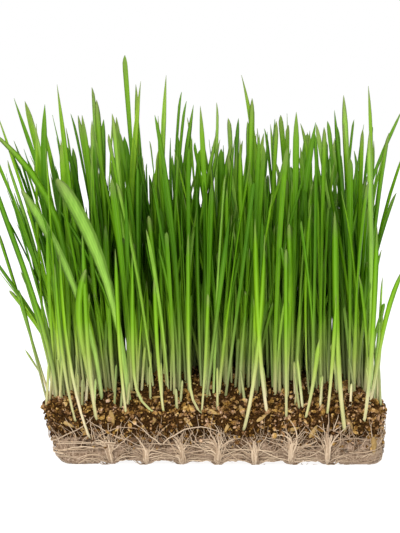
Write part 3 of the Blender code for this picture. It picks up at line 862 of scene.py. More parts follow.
def add_second(bunch, line, turn, rng):
    """A second leaf that parts from the main leaf's sheath."""
    start = rng.uniform(34, 66) * MM
    length = (line[-1, 2] - line[0, 2] - start) * rng.uniform(0.35, 0.85)
    rise = start + length * LEAF_SHARES
    follow = np.stack([np.interp(rise, line[:, 2] - line[0, 2], line[:, k]) for k in (0, 1)], 1)
    away = rng.uniform(0, 2 * math.pi)
    gap = rng.uniform(0.03, 0.13) * length * LEAF_SHARES**1.4
    middle = follow + gap[:, None] * np.array([math.cos(away), math.sin(away)])
    half = leaf_width(LEAF_SHARES, 1.6 * MM, rng.uniform(2.8, 4.4) * MM, rng.uniform())
    line = np.column_stack([middle, line[0, 2] + rise])
    bunch.add(line, half, turn + rng.uniform(0.3, 1.2) * LEAF_SHARES, rng, sheath=-30 * MM)


rng = np.random.default_rng(FINE_SEED)
TUFT_PIECES = []
for number, leaves in enumerate(MAIN_LEAVES):
    bunch = LeafBunch()
    company = COMPANIONS_IN_ROW[number // TUFT_COLUMNS]
    for leaf in leaves:
        line, turn = add_main(bunch, leaf, rng)
        for _ in range(int(company + rng.uniform())):
            add_companion(bunch, line, rng)
        if rng.uniform() < SECOND_LEAVES and not has_own_shape(leaf):
            add_second(bunch, line, turn, rng)
    TUFT_PIECES.append(bunch.build(f"oat_blades_{number + 1:02d}"))
print("blade pieces:", len(TUFT_PIECES))

# %% [markdown]
# ## Stems on the wall and short stubs
#
# A few plants took root in the slab's face, so their white stems show all the way down over the crumbs. Two
# others lean out over the left edge. Short stubs stand all round: sheaths whose leaf never grew. They could
# have a mesh of their own, but all are the same fine leaves on lines of their own. The stems that show are
# given by measured places, and the stubs by chance.

# %% Plants at the front wall and the left edge
EDGE_SEED = 8
STUBS = 160
# Foot across and up, a place that the stem passes, top, width, and a small curl for a hooked foot, in mm
WALL_STEMS = [
    (-87, 21, -101, 62, 150, 2.0), (-96, 32, -103, 60, 140, 1.8), (-82, 34, -86, 60, 165, 2.6),
    (-62, 38, -66, 70, 150, 2.0), (-11, 40, -9, 62, 120, 1.6), (17.5, 27, 27, 66, 160, 2.4),
    (84.6, 27, 79, 64, 175, 3.0), (32.5, 38, 28, 66, 170, 2.4), (45.6, 36, 45, 70, 150, 2.0),
    (59, 36, 65, 62, 90, 2.0), (98, 33, 102, 66, 165, 2.4), (-37, 40, -40, 64, 130, 2.0),
    (73, 38, 76, 66, 120, 2.0), (-45, 39, -57, 48, 150, 2.2, 9), (-13, 39, -20, 48, 160, 2.0, 9),
]
# Foot across, in depth and up, lean, length and width. The first is a short leaf of the second plant
END_PLANTS = [
    (-122.8, -12, 53, -0.62, 20, 1.5), (-118, -12, 38, -0.30, 120, 2.0), (-117, -34, 38, -0.24, 80, 1.9),
]


def add_wall_stem(bunch, rng, foot_x, foot_z, over_x, over_z, top, width, curl=60):
    """A plant whose stem runs up the front face, then stands with the others."""
    foot = np.array([foot_x, foot_z]) * MM
    over = np.array([over_x, over_z]) * MM
    z = foot[1] - 2 * MM + (top * MM - foot[1]) * LEAF_SHARES**1.3
    lean = (over[0] - foot[0]) / (over[1] - foot[1])
    share = (z - foot[1]) / MM
    x = foot[0] + lean * MM * curl * (1 - np.exp(-share / curl))
    y = -reach(FRONT_WALL, np.minimum(z, SLAB_HEIGHT)) - 0.4 * MM - 3 * MM * LEAF_SHARES
    y[0] += 3 * MM
    half = leaf_width(LEAF_SHARES, width * 0.9 * MM, width * 1.6 * MM, rng.uniform())
    turn = np.full(len(z), rng.uniform(-0.5, 0.5))
    sheath = rng.uniform(30, 45) * MM
    bunch.add(np.column_stack([x, y, z]), half, turn, rng, tone=rng.uniform(0.5, 0.9), sheath=sheath)


def add_end_plant(bunch, rng, foot_x, foot_y, foot_z, lean, tall, width):
    """A plant at the left end that leans out over the edge, or a short leaf of it."""
    rise = tall * MM * LEAF_SHARES
    foot = np.array([foot_x, foot_y, foot_z]) * MM
    half = leaf_width(LEAF_SHARES, width * 0.9 * MM, width * 1.3 * MM, rng.uniform())
    line = foot + rise[:, None] * np.array([lean, 0, 1])
    bunch.add(line, half, np.full(len(rise), rng.uniform(-0.5, 0.5)), rng)


def add_stub(bunch, rng):
    """A short pale sheath with a slanted end."""
    along = rng.uniform(0, PERIMETER)
    place = on_wall(along, SLAB_HEIGHT, -abs(rng.normal(0, 14 * MM)) - 3 * MM)
    length = rng.uniform(14, 34) * MM
    rise = length * LEAF_SHARES
    lean = rng.normal(0, 0.12, 2)
    middle = place[:2] + rise[:, None] * lean
    half = rng.uniform(0.75, 1.15) * MM * np.interp(LEAF_SHARES, [0, 0.8, 0.95, 1], [1, 1, 0.75, 0.05])
    z = heaped_height(*place[:2]) - 2 * MM + rise
    turn = np.full(len(z), rng.uniform(0, 6))
    bunch.add(np.column_stack([middle, z]), half, turn, rng, sheath=60 * MM)


rng = np.random.default_rng(EDGE_SEED)
edge_bunch = LeafBunch()
for stem in WALL_STEMS:
    add_wall_stem(edge_bunch, rng, *stem)
for plant in END_PLANTS:
    add_end_plant(edge_bunch, rng, *plant)
for _ in range(STUBS):
    add_stub(edge_bunch, rng)
EDGE_STEMS = edge_bunch.build("wall_stems_and_stubs")
print("stems and stubs:", len(edge_bunch.lines))

# %% [markdown]
# ## Finish: oat leaf
#
# The stem is almost white at the soil, where no light reached it, and turns yellow-green and then deep
# green within a few centimetres. Higher up, the green is painted paler again towards the tips: painted
# light on the upper leaves. The blade has fine veins along it and a paler groove. A painted picture would
# repeat on every leaf, so numbers drive the colour. Height drives the first change and the painted light at
# the tips, and the mesh's own values drive the rest, with across for the veins and tone for the difference
# between plants.

# %% Oat leaf material


def leaf_green_and_painted_tip_light(finish, height, tone):
    """From a pale foot to a green blade that is painted paler at the tips as painted light, and paler or
    darker from plant to plant.
    """
    patch = finish.noise(28, 2)
    shift = finish.math("MULTIPLY_ADD", tone, 0.10, finish.math("MULTIPLY_ADD", patch, 0.12, -0.11))
    rise_for_green_and_tip_light = finish.math("ADD", finish.span(height, 0.047, 0.25), shift)
    # Above the deep green middle the ramp turns paler towards the tips: painted light, for the light that
    # falls on the upper leaves and shines through them.
    green = finish.ramp(rise_for_green_and_tip_light, [
        (0.00, (0.52, 0.46, 0.30)), (0.06, (0.43, 0.45, 0.22)), (0.14, (0.29, 0.39, 0.085)),
        (0.26, (0.17, 0.365, 0.008)), (0.48, (0.115, 0.305, 0.002)), (0.75, (0.155, 0.36, 0.008)),
        (1.00, (0.26, 0.45, 0.035)),
    ])
    plant = finish.ramp(tone, [
        (0.0, (0.48, 0.58, 0.38)), (0.35, (0.78, 0.85, 0.62)), (0.7, (1.1, 1.06, 0.85)),
        (1.0, (1.7, 1.4, 1.9)),
    ])
    green = finish.mix(1.0, green, plant, "MULTIPLY")
    return finish.mix(finish.span(tone, 0.92, 0.97, 0.0, 0.6), green, (0.36, 0.60, 0.12))


def leaf_marks(finish, green, veins, across):
    """Fine veins along the blade and a paler groove in its middle."""
    vein_share = finish.span(veins, -1, 1, 0.9, 1.12)
    vein_grey = finish.add("CombineColor", dict.fromkeys((0, 1, 2), vein_share))
    green = finish.mix(1.0, green, vein_grey, "MULTIPLY")
    rib = finish.span(finish.math("ABSOLUTE", across), 0.0, 0.22, 0.30, 0.0)
    return finish.mix(rib, green, (0.28, 0.50, 0.08))


def leaf_age(finish, green, streak, share, tone):
    """Darker streaks, and a tip that begins to dry."""
    green = finish.mix(finish.span(streak, 0.35, 0.75, 0.0, 0.35), green, (0.05, 0.17, 0.01))
    tip = finish.math("MULTIPLY", finish.span(share, 0.90, 1.0, 0, 0.75), finish.span(tone, 0.2, 0.6))
    return finish.mix(tip, green, (0.24, 0.27, 0.10))


def let_light_through(finish, green, height):
    """Some light passes through the blades, and almost none through the stems."""
    glow = finish.add("BsdfTranslucent", {"Color": finish.mix(0.5, green, (0.25, 0.64, 0.01))})
    thin = finish.span(height, 0.08, 0.16, 0.02, 0.35)
    both = finish.add("MixShader", {0: thin, 1: finish.shader.outputs[0], 2: glow})
    finish.links.new(both, finish.nodes["Material Output"].inputs["Surface"])


def leaf_finish():
    """Pale foot, green blade, veins, and some light that passes through."""
    finish = Finish("oat_leaf", 0.42)
    finish.shader.inputs["Specular IOR Level"].default_value = 0.17
    tone, across, share = finish.value("tone"), finish.value("across"), finish.value("share")
    height = finish.add("SeparateXYZ", {"Vector": finish.place()}, output="Z")
    green = leaf_green_and_painted_tip_light(finish, height, tone)
    veins = finish.math("SINE", finish.math("MULTIPLY", across, 17.0))
    green = leaf_marks(finish, green, veins, across)
    streak = finish.noise(1.0, 4, stretch=(500, 500, 30))
    green = leaf_age(finish, green, streak, share, tone)
    finish.colour(green)
    finish.bump(finish.math("ADD", veins, finish.math("MULTIPLY", streak, 2.0)), 0.25, 0.08 * MM)
    let_light_through(finish, green, height)
    return finish.material


LEAF = leaf_finish()
for number, piece in enumerate(TUFT_PIECES):
    settle(piece, LEAF)
    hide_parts(f"grass_tuft_{number + 1:02d}")
settle(EDGE_STEMS, LEAF)

# %% [markdown]
# ## The medium's body
#
# Under the loose crumbs the medium is one dark, matted mass. It could be a sculpted block, but then it
# wouldn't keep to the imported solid's form. So it is a box cut into small cells, whose points are moved onto
# the same walls and up to the heaped top, with finer noise. It has no holes, because the crowns of roots
# are part of it.

# %% A box of small cells
MEDIUM_CELLS = (128, 66, 13)
WALL_RELIEF = 1.1 * MM
FINE_RELIEF = 0.9 * MM


def box_shell(cells):
    """The lattice points on a box's surface, and its faces. Points run from 0 to the number of cells."""
    index, faces = {}, []

    def point(*co):
        return index.setdefault(co, len(index))

    for axis in range(3):
        u, v = (axis + 1) % 3, (axis + 2) % 3
        for level in (0, cells[axis]):
            for i in range(cells[u]):
                for j in range(cells[v]):
                    ring = []
                    for a, b in ((0, 0), (1, 0), (1, 1), (0, 1)):
                        co = [0, 0, 0]
                        co[axis], co[u], co[v] = level, i + a, j + b
                        ring.append(point(*co))
                    faces.append(ring if level else ring[::-1])
    return np.array(list(index)), np.array(faces)


def over_corner(x, y):
    """How far a place lies past the middles of the corner arcs along X and along Y."""
    return max(abs(x) - PLAN_X + CORNER_RADIUS, 0.0), max(abs(y) - PLAN_Y + CORNER_RADIUS, 0.0)


def round_corner(x, y):
    """Bend a point of the square-cornered outline onto the outline with round corners."""
    over_x, over_y = over_corner(x, y)
    if over_x == 0 or over_y == 0:
        return x, y
    squeeze = 1 - max(over_x, over_y) / math.hypot(over_x, over_y)
    return x - math.copysign(over_x * squeeze, x), y - math.copysign(over_y * squeeze, y)


def on_slab(x, y, z, inset):
    """Move a place of the plan to the leaning walls at height z, less an inset that is full at a wall."""
    moved = Vector((x * reach(side_wall(x), z) / PLAN_X, y * reach(FRONT_WALL, z) / PLAN_Y))
    over_x, over_y = over_corner(x, y)
    return moved - inset / CORNER_RADIUS * Vector((math.copysign(over_x, x), math.copysign(over_y, y)))


def medium_point(u, v, w):
    """A point of the medium's surface, from shares of the box along X, Y and Z."""
    bottom = MAT_TOP - 1 * MM
    x, y, z = (2 * u - 1) * PLAN_X, (2 * v - 1) * PLAN_Y, bottom + (SLAB_HEIGHT - bottom) * w
    inset = WALL_RELIEF * (1 - lumps(x, y, z, 9 * MM)) + FINE_RELIEF * (1 - lumps(x, y, z, 2.6 * MM))
    x, y = on_slab(*round_corner(x, y), z, inset)
    sunk = FINE_RELIEF * (lumps(x, y, 0.9, 2.8 * MM) - 1)
    return x, y, bottom + w * (heaped_height(x, y) + sunk - bottom)


lattice, box_faces = box_shell(MEDIUM_CELLS)
medium_points = np.array([medium_point(*s) for s in lattice / np.array(MEDIUM_CELLS)])
MEDIUM_CORE = mesh_object("medium_core", medium_points, box_faces)
print("points of the medium's surface:", len(medium_points))

# %% [markdown]
# ## Crumbs
#
# Peat and bark crumbs of one to four millimetres cover the medium. Sculpting or a displacement map can't
# give loose crumbs with gaps between them. So each one is a small body of twenty flat faces, pushed out of
# round at every corner. Most are dark, some are tan and a few pale.

# %% Angular crumbs
CRUMB_SEED = 9
WALL_CRUMB_COUNT = 6200
TOP_CRUMB_COUNT = 5600


def twenty_faces():
    """The corners and faces of a body with twenty faces, one unit in radius."""
    bm = bmesh.new()
    bmesh.ops.create_icosphere(bm, subdivisions=1, radius=1)
    corners = np.array([v.co for v in bm.verts])
    faces = np.array([[v.index for v in f.verts] for f in bm.faces])
    bm.free()
    return corners, faces


def crumbs(name, places, radii, tones, rng):
    """One mesh of many crumbs, each turned and misshapen in its own way."""
    corners, faces = twenty_faces()
    count = len(places)
    turns, _ = np.linalg.qr(rng.normal(size=(count, 3, 3)))
    stretch = rng.uniform(0.4, 1.45, (count, 1, 3))
    uneven = rng.uniform(0.5, 1.35, (count, len(corners), 1))
    shape = corners[None] * uneven * stretch * radii[:, None, None]
    vertices = places[:, None] + np.einsum("nij,nkj->nki", turns, shape)
    indices = faces[None] + np.arange(count)[:, None, None] * len(corners)
    values = {"tone": np.repeat(tones, len(corners))}
    return mesh_object(name, vertices.reshape(-1, 3), indices.reshape(-1, 3), values, smooth=False)


def crumb_sizes(rng, count):
    """Radii: many small crumbs and a few big ones."""
    return np.clip(rng.lognormal(math.log(0.9), 0.42, count), 0.4, 2.1) * MM


def crumb_tones(rng, count):
    """0 for the darkest crumb and 1 for the palest: mostly dark."""
    return rng.beta(1.2, 1.9, count)


print("faces of a crumb:", len(twenty_faces()[1]))

# %% Crumbs on the walls and on the top


def wall_crumbs(count, rng):
    """Crumbs in the upper part of the walls, thinning out into the roots."""
    along = rng.uniform(0, PERIMETER, count)
    z = (11 + 30 * rng.beta(1.6, 1.0, count)) * MM
    radii = crumb_sizes(rng, count)
    lift = rng.uniform(-3.2, 0.2, count) * MM - radii * 0.3
    places = on_wall(along, z, lift)
    tops = np.array([medium_height(x, y) for x, y, _ in places])
    places[:, 2] = np.minimum(places[:, 2], tops + 0.3 * MM)
    return crumbs("wall_crumbs", places, radii, crumb_tones(rng, count), rng)


def top_crumbs(count, rng):
    """Crumbs over the top, closest together where the edge shows them."""
    along = rng.uniform(0, PERIMETER, count)
    inward = 50 * MM * rng.beta(0.85, 1.5, count)
    places = on_wall(along, SLAB_HEIGHT, -inward)
    places[:, 1] = np.clip(places[:, 1], -PLAN_Y, PLAN_Y)
    radii = crumb_sizes(rng, count) * 1.1
    places[:, 2] = [heaped_height(x, y) + rng.uniform(-0.8, 0.8) * MM for x, y, _ in places]
    return crumbs("top_crumbs", places, radii, crumb_tones(rng, count), rng)


rng = np.random.default_rng(CRUMB_SEED)
WALL_CRUMBS = wall_crumbs(WALL_CRUMB_COUNT, rng)
TOP_CRUMBS = top_crumbs(TOP_CRUMB_COUNT, rng)
print("crumbs:", WALL_CRUMB_COUNT + TOP_CRUMB_COUNT)

# %% [markdown]
# ## Finish: medium and crumbs
#
# Both are dull and dark brown, with fine grain. With one colour the crumbs would melt together, and a
# material for each would make thousands. So a crumb's own tone picks its colour on a ramp from almost black
# to straw, and a coarse noise makes it more golden or more pink.

# %% Medium and crumb materials


def medium_finish():
    """Dark matted peat."""
    finish = Finish("peat", 0.95)
    finish.shader.inputs["Specular IOR Level"].default_value = 0.08
    grain = finish.noise(900, 4)
    finish.colour(finish.ramp(grain, [
        (0.3, (0.008, 0.003, 0.0005)), (0.55, (0.042, 0.018, 0.003)), (0.8, (0.14, 0.068, 0.018)),
    ]))
    finish.bump(grain, 0.8, 0.8 * MM)
    return finish.material


def crumb_finish():
    """Crumbs from almost black to straw, each with its own grain."""
    finish = Finish("crumb", 0.85)
    finish.shader.inputs["Specular IOR Level"].default_value = 0.12
    tone = finish.value("tone")
    grain = finish.noise(900, 4)
    mixed = finish.math("ADD", tone, finish.math("MULTIPLY_ADD", grain, 1.2, -0.6))
    brown = finish.ramp(mixed, [
        (0.05, (0.022, 0.009, 0.002)), (0.25, (0.10, 0.045, 0.010)), (0.45, (0.22, 0.122, 0.036)),
        (0.70, (0.36, 0.222, 0.088)), (0.95, (0.56, 0.40, 0.22)),
    ])
    hue = finish.mix(finish.span(finish.noise(190, 1), 0.4, 0.6), (1.0, 0.95, 0.6), (1.0, 0.96, 1.25))
    finish.colour(finish.mix(1.0, brown, hue, "MULTIPLY"))
    finish.bump(grain, 0.8, 0.5 * MM)
    return finish.material


settle(MEDIUM_CORE, medium_finish())
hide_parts("growing_medium")
CRUMB = crumb_finish()
settle(WALL_CRUMBS, CRUMB)
settle(TOP_CRUMBS, CRUMB)

# %% [markdown]
# ## Husks
#
# Each oat seed leaves its husk behind: a slim straw-coloured boat about eleven millimetres long. It could
# be modelled once and copied, but the tubes' own recipe can also swell and shrink to a point, bow a little
# and take a crease along one side. The husks that show are given by their places, and the rest lie by
# chance.

# %% Straw husks
HUSK_RINGS = np.linspace(0, 1, 8)
HUSK_SIDES = 8
HUSK_SWELL = ([0, 0.15, 0.4, 0.65, 0.85, 1], [0.3, 0.75, 1, 0.8, 0.38, 0.04])
LOOSE_HUSKS = 48
# Place across and up, how far it is turned from upright, and length
SEEN_HUSKS = [
    (-70, 33.5, 0.2, 11.5), (-42, 33, -0.3, 9), (-4, 38, 1.2, 10), (108, 14, 0.1, 14), (-20, 31, 0.8, 9),
    (30, 34, 2.2, 9), (52, 26, 1.9, 9), (90, 30, 0.7, 8), (-100, 29, 1.1, 9), (6, 27, -0.5, 8),
]


def husks(name, places, directions, outward, lengths, tones):
    """One mesh of many husks."""
    shift = (HUSK_RINGS - 0.5)[None, :, None] * lengths[:, None, None]
    bow = (0.25 - (HUSK_RINGS - 0.5) ** 2)[None, :, None] * lengths[:, None, None] * 0.18
    lines = places[:, None] + unit(directions)[:, None] * shift + outward[:, None] * bow
    radii = lengths[:, None] * 0.165 * np.interp(HUSK_RINGS, *HUSK_SWELL)
    tangent = unit(np.gradient(lines, axis=1))
    across = unit(np.cross(outward[:, None], tangent))
    sections = round_sections(radii, HUSK_SIDES) * np.array([1.0, 0.72])
    crease = HUSK_SIDES // 4
    sections[:, :, crease, 1] *= 0.55
    vertices, faces = sweep(lines, across, unit(np.cross(tangent, across)), sections)
    return mesh_object(name, vertices, faces, {"tone": np.repeat(tones, len(HUSK_RINGS) * HUSK_SIDES)})


def husk_directions(outward, on_top, turns, rng):
    """The way that each husk points: turned from upright on a wall, and any way on the top."""
    level = np.stack([-outward[:, 1], outward[:, 0], 0 * turns], -1)
    level[on_top] = (1, 0, 0)
    up = np.cross(outward, -level)
    off_wall = outward * rng.normal(0, 0.15, len(turns))[:, None]
    return level * np.sin(turns)[:, None] + up * np.cos(turns)[:, None] + off_wall


def all_husks(count, rng):
    """The husks that show at the front, and others by chance over walls and top."""
    seen_x, seen_z, seen_turns, seen_lengths = np.array(SEEN_HUSKS).T
    seen_along = seen_x * MM + PLAN_X - CORNER_RADIUS
    along = np.concatenate([seen_along, rng.uniform(0, PERIMETER, count)])
    on_face = rng.uniform(size=count) < 0.25
    z = np.concatenate([seen_z * MM, np.where(on_face, rng.uniform(22, 38, count) * MM, SLAB_HEIGHT)])
    inward = np.where(on_face, 0, 40 * MM * rng.beta(0.9, 1.6, count))
    lift = np.concatenate([np.full(len(seen_x), -1.0 * MM), -inward - 1.6 * MM])
    places = on_wall(along, z, lift)
    _, outward = wall_frame(along, z)
    on_top = z == SLAB_HEIGHT
    outward[on_top] = (0, 0, 1)
    places[on_top, 2] = [heaped_height(x, y) + 0.5 * MM for x, y, _ in places[on_top]]
    turns = np.concatenate([seen_turns, rng.uniform(0, math.pi, count)])
    directions = husk_directions(outward, on_top, turns, rng)
    lengths = np.concatenate([seen_lengths * MM, rng.uniform(7.5, 11.5, count) * MM])
    return husks("oat_husks", places, directions, outward, lengths, rng.uniform(size=len(z)))


def husk_finish():
    """Straw with fine ridges along it."""
    finish = Finish("husk_straw", 0.55)
    streak = finish.noise(700, 3)
    shade = finish.math("MULTIPLY_ADD", streak, 0.6, finish.math("MULTIPLY", finish.value("tone"), 0.5))
    finish.colour(finish.ramp(shade, [
        (0.15, (0.10, 0.055, 0.012)), (0.5, (0.25, 0.15, 0.035)), (0.85, (0.42, 0.27, 0.085)),
    ]))
    finish.bump(streak, 0.4, 0.3 * MM)
    return finish.material


settle(all_husks(LOOSE_HUSKS, rng), husk_finish())

# %% [markdown]
# ## The felt of roots
#
# Roots that met the tray's walls and floor turned along them and matted into felt. It could be made of
# strands alone, but that many would be too heavy. So a body like the medium's lies under them, on the
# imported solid's surface. It dips to the floor where the roots grew into a drain hole and at the corner
# feet.

# %% Body of the felt
BUNDLES = [(k - 3) * HOLE_PITCH for k in range(7)]
BUNDLE_ROWS = [(k - 1) * HOLE_PITCH for k in range(3)]
OUTER_BAND = 46 * MM
BUNDLE_HALF = 1.6 * MM
ARCH_RUN = 5.5 * MM
FOOT_X = 86 * MM
FOOT_Y = 39 * MM
FELT_RELIEF = 0.7 * MM
FELT_GRAIN = 0.5 * MM
FELT_CELLS = (150, 78, 12)


def nearest(value, places):
    """Distance to the nearest of several places on a line."""
    return min(abs(value - place) for place in places)


def underside_height(x, y):
    """Height of the felt's underside: on the floor at each bundle and corner foot, arched between them."""
    near_y = 0.0 if abs(y) > OUTER_BAND else nearest(y, BUNDLE_ROWS)
    away = math.hypot(nearest(x, BUNDLES), near_y)
    arch = smooth_share((away - BUNDLE_HALF) / ARCH_RUN)
    foot = smooth_share((FOOT_X - abs(x)) / (3.5 * MM)) + smooth_share((FOOT_Y - abs(y)) / (5 * MM))
    ragged = 0.95 + 0.3 * lumps(x, y, 0.0, 17 * MM) + 0.5 * lumps(x, y, 0.5, 3.2 * MM)
    return min(arch, foot) * ARCH_HEIGHT * ragged + 0.2 * MM


def felt_inset(x, y, z):
    """How far the felt's wall stands in from the tray's: tucked in at the foot, and uneven."""
    drop = max(BOTTOM_ROUND - z, 0.0)
    tuck = BOTTOM_ROUND - math.sqrt(max(BOTTOM_ROUND**2 - drop**2, 0.0))
    return min(tuck, BOTTOM_TUCK) + FELT_RELIEF * (1 - lumps(x, y, z, 8 * MM))


def felt_point(u, v, w):
    """A point of the felt's surface, from shares of the box along X, Y and Z."""
    x, y = (2 * u - 1) * PLAN_X, (2 * v - 1) * PLAN_Y
    low = underside_height(*round_corner(x, y))
    z = low + (MAT_TOP - low) * w
    inset = felt_inset(x, y, z) + FELT_GRAIN * (1 - lumps(x, y, z * 1.5, 2.4 * MM))
    x, y = on_slab(*round_corner(x, y), z, inset)
    return x, y, z


def paleness(x, y, z):
    """How well the felt covers the medium: best near the foot, at the bundles and at both ends."""
    near = nearest(x, BUNDLES) if abs(y) > OUTER_BAND else nearest(y, BUNDLE_ROWS)
    bundle = 0.8 * math.exp(-((near / (6 * MM)) ** 2)) * smooth_share((20 * MM - z) / (9 * MM))
    end = 0.9 * smooth_share((abs(x) - 88 * MM) / (14 * MM))
    patches = 0.9 * lumps(x, y, z, 7 * MM)
    return 0.95 * (1 - z / (15 * MM)) + bundle + end + patches


lattice, box_faces = box_shell(FELT_CELLS)
felt_points = np.array([felt_point(*s) for s in lattice / np.array(FELT_CELLS)])
ROOT_FELT = mesh_object("root_felt", felt_points, box_faces, {"pale": [paleness(*p) for p in felt_points]})
print("points of the felt's surface:", len(felt_points))

# %% [markdown]
# ## Root strands
#
# Over the felt run the roots themselves. Those that filled a drain hole stand together as a pale trunk, and
# part higher up. Others arch from one trunk to the next, climb into the crumbs, or wander across. Hair
# curves would be quick to comb, but they aren't a mesh. So each root is a thin tube, laid on the wall by its
# distance along the outline, and it turns the corners with it.

# %% Lines on the wall
STRAND_POINTS = 12
STEP = np.linspace(0, 1, STRAND_POINTS)
STRAND_TAPER = np.interp(STEP, [0, 0.15, 0.7, 1], [0.8, 1, 0.7, 0.3])
HIGHEST_ROOT = 38 * MM
DEEPEST_INSET = 5 * MM


def lower_edge(along):
    """Height of the felt's lower edge at distances along the outline."""
    place, _ = wall_frame(along, 0 * along)
    return np.array([underside_height(x, y) for x, y, _ in place])


class Strands:
    """Root strands over the walls, gathered and then made into one mesh."""

    def __init__(self, rng):
        self.rng = rng
        self.lines, self.radii, self.outward, self.tones = [], [], [], []

    def add(self, along, z, thick, proud=0.0, wander=0.3, loose=False):
        """A strand by its distance along the outline and its height at each step."""
        stray = self.rng.normal(0, wander * MM, (2, STRAND_POINTS)).cumsum(axis=1)
        along, z = along + stray[0], z + stray[1]
        low = 0.4 * MM if loose else lower_edge(along) + thick
        z = np.clip(z, low, HIGHEST_ROOT)
        place, out = wall_frame(along, z)
        insets = [min(felt_inset(*p), DEEPEST_INSET) for p in place]
        lift = -np.array(insets) + thick * 0.4 + proud
        lift[-1] -= 1.2 * MM
        self.lines.append(place + out * lift[:, None])
        self.radii.append(thick * STRAND_TAPER)
        self.outward.append(out.mean(axis=0) + np.array([0, 0, 0.01]))
        self.tones.append(self.rng.uniform())

    def build(self, name, corners):
        """One object with all the strands."""
        outward = np.array(self.outward)[:, None]
        vertices, faces = tubes(np.array(self.lines), np.array(self.radii), corners, outward)
        tones = np.repeat(self.tones, STRAND_POINTS * corners)
        return mesh_object(name, vertices, faces, {"tone": tones})


def bundle_places():
    """The bundles' distances along the outline, on all four walls."""
    flat_x, flat_y, arc = PLAN_X - CORNER_RADIUS, PLAN_Y - CORNER_RADIUS, math.pi * CORNER_RADIUS / 2
    right = 2 * flat_x + arc
    back = right + 2 * flat_y + arc
    left = back + 2 * flat_x + arc
    found = [flat_x + c for c in BUNDLES] + [right + flat_y + c for c in BUNDLE_ROWS]
    return found + [back + flat_x + c for c in BUNDLES] + [left + flat_y + c for c in BUNDLE_ROWS]


print("bundles round the walls:", len(bundle_places()))

# %% Roots of a trunk
TRUNK_SHARES = np.array([0.2, 0.75, 1.0, 0.85])
TRUNK_HEIGHTS = np.array([0.05, 0.35, 0.7, 1.0])
Habit = namedtuple("Habit", "lean spread tall full")


def free_run(angle, length, points):
    """Steps sideways and up of a root that sets off at an angle from upright."""
    step = length / points
    return np.cumsum(np.sin(angle)) * step, np.cumsum(np.cos(angle)) * step


def add_trunk_root(strands, neck, habit, rng):
    """One thick root of a trunk: up from the drain hole's tip, then off on its own."""
    offset = np.clip(rng.normal(0, 1.25), -2.4, 2.4) * MM
    split = rng.uniform(5, 12) * habit.tall * MM
    free = STRAND_POINTS - len(TRUNK_SHARES)
    set_off = np.clip(habit.lean + rng.normal(0, habit.spread) + 0.16 * offset / MM, -1.4, 1.4)
    angle = set_off * np.linspace(0.4, 1.6, free) + rng.normal(0, 0.5) * np.linspace(-0.3, 1, free)
    side, up = free_run(angle, rng.uniform(3, 20) * habit.tall * MM, free)
    along = neck + np.concatenate([offset * TRUNK_SHARES, offset * 0.85 + side])
    z = 0.4 * MM + np.concatenate([split * TRUNK_HEIGHTS, split + up])
    round_front = 1.5 * MM * math.sqrt(1 - (offset / (2.6 * MM)) ** 2)
    proud = np.interp(z, [0, 4 * MM, split, split + 9 * MM], [0.2 * MM, round_front, round_front, 0.3 * MM])
    strands.add(along, z, rng.uniform(0.38, 0.75) * MM, proud, wander=0.22)


def add_fan_root(strands, neck, habit, rng):
    """A thin root that leaves a trunk at a wide angle and curves."""
    angle = rng.choice([-1, 1]) * rng.uniform(0.35, 1.5) + rng.uniform(-0.7, 0.7) * STEP
    side, up = free_run(angle, rng.uniform(8, 30) * MM, STRAND_POINTS)
    z = rng.uniform(4, 12) * habit.tall * MM + up
    along = neck + rng.normal(0, 1.2 * MM) + side
    strands.add(along, z, rng.uniform(0.18, 0.42) * MM, rng.uniform(0.1, 1.0) * MM)


AT_TRUNK = ((add_trunk_root, 17), (add_fan_root, 10))
print("roots of a trunk:", sum(count for _, count in AT_TRUNK))

# %% Roots between the trunks


def add_arch(strands, start, end, rng):
    """A root that arches between two trunks just over the felt's edge."""
    first, last = rng.uniform(-0.05, 0.3), rng.uniform(0.7, 1.05)
    along = start + (end - start) * (first + (last - first) * STEP)
    z = rng.uniform(1, 8) * MM + 4 * rng.uniform(0, 4.5) * MM * STEP * (1 - STEP)
    strands.add(along, z, rng.uniform(0.14, 0.32) * MM, rng.uniform(0, 0.6) * MM)


def add_climber(strands, start, end, rng):
    """A thin root that climbs into the crumbs, at a slant and with a curve."""
    angle = rng.normal(0, 0.55) + rng.normal(0, 0.5) * STEP
    side, up = free_run(angle, rng.uniform(8, 22) * MM, STRAND_POINTS)
    z = rng.uniform(7, 19) * MM + up
    strands.add(rng.uniform(start, end) + side, z, rng.uniform(0.13, 0.27) * MM, rng.uniform(0.1, 1.5) * MM)


def add_wanderer(strands, start, end, rng):
    """A long loose root that crosses the others."""
    length = rng.uniform(20, 48) * MM * rng.choice([-1, 1])
    z = rng.uniform(7, 19) * MM + rng.normal(0, 8 * MM) * STEP + rng.normal(0, 16 * MM) * STEP * (1 - STEP)
    strands.add(rng.uniform(start, end) + length * STEP, z, rng.uniform(0.28, 0.5) * MM, 0.9 * MM)


def add_fibre(strands, start, end, rng):
    """A fine short fibre of the felt. A few hang loose at its lower edge."""
    angle = rng.uniform(0, 2 * math.pi) + rng.normal(0, 0.6) * STEP
    side, up = free_run(angle, rng.uniform(4, 12) * MM, STRAND_POINTS)
    z = 22 * MM * rng.beta(1.0, 1.7) + 1 * MM + up
    loose = rng.uniform() < 0.10
    thick = rng.uniform(0.07, 0.16) * MM + 0.07 * MM * loose
    strands.add(rng.uniform(start, end) + side, z, thick, rng.uniform(0, 0.5) * MM, loose=loose)


IN_GAP = ((add_arch, 9), (add_climber, 12), (add_wanderer, 3))
FIBRES_IN_GAP = 60
print("roots between two trunks:", sum(count for _, count in IN_GAP) + FIBRES_IN_GAP)

# %% Lay the roots round the slab
ROOT_SEED = 10
STRAND_SIDES = 5
FIBRE_SIDES = 3


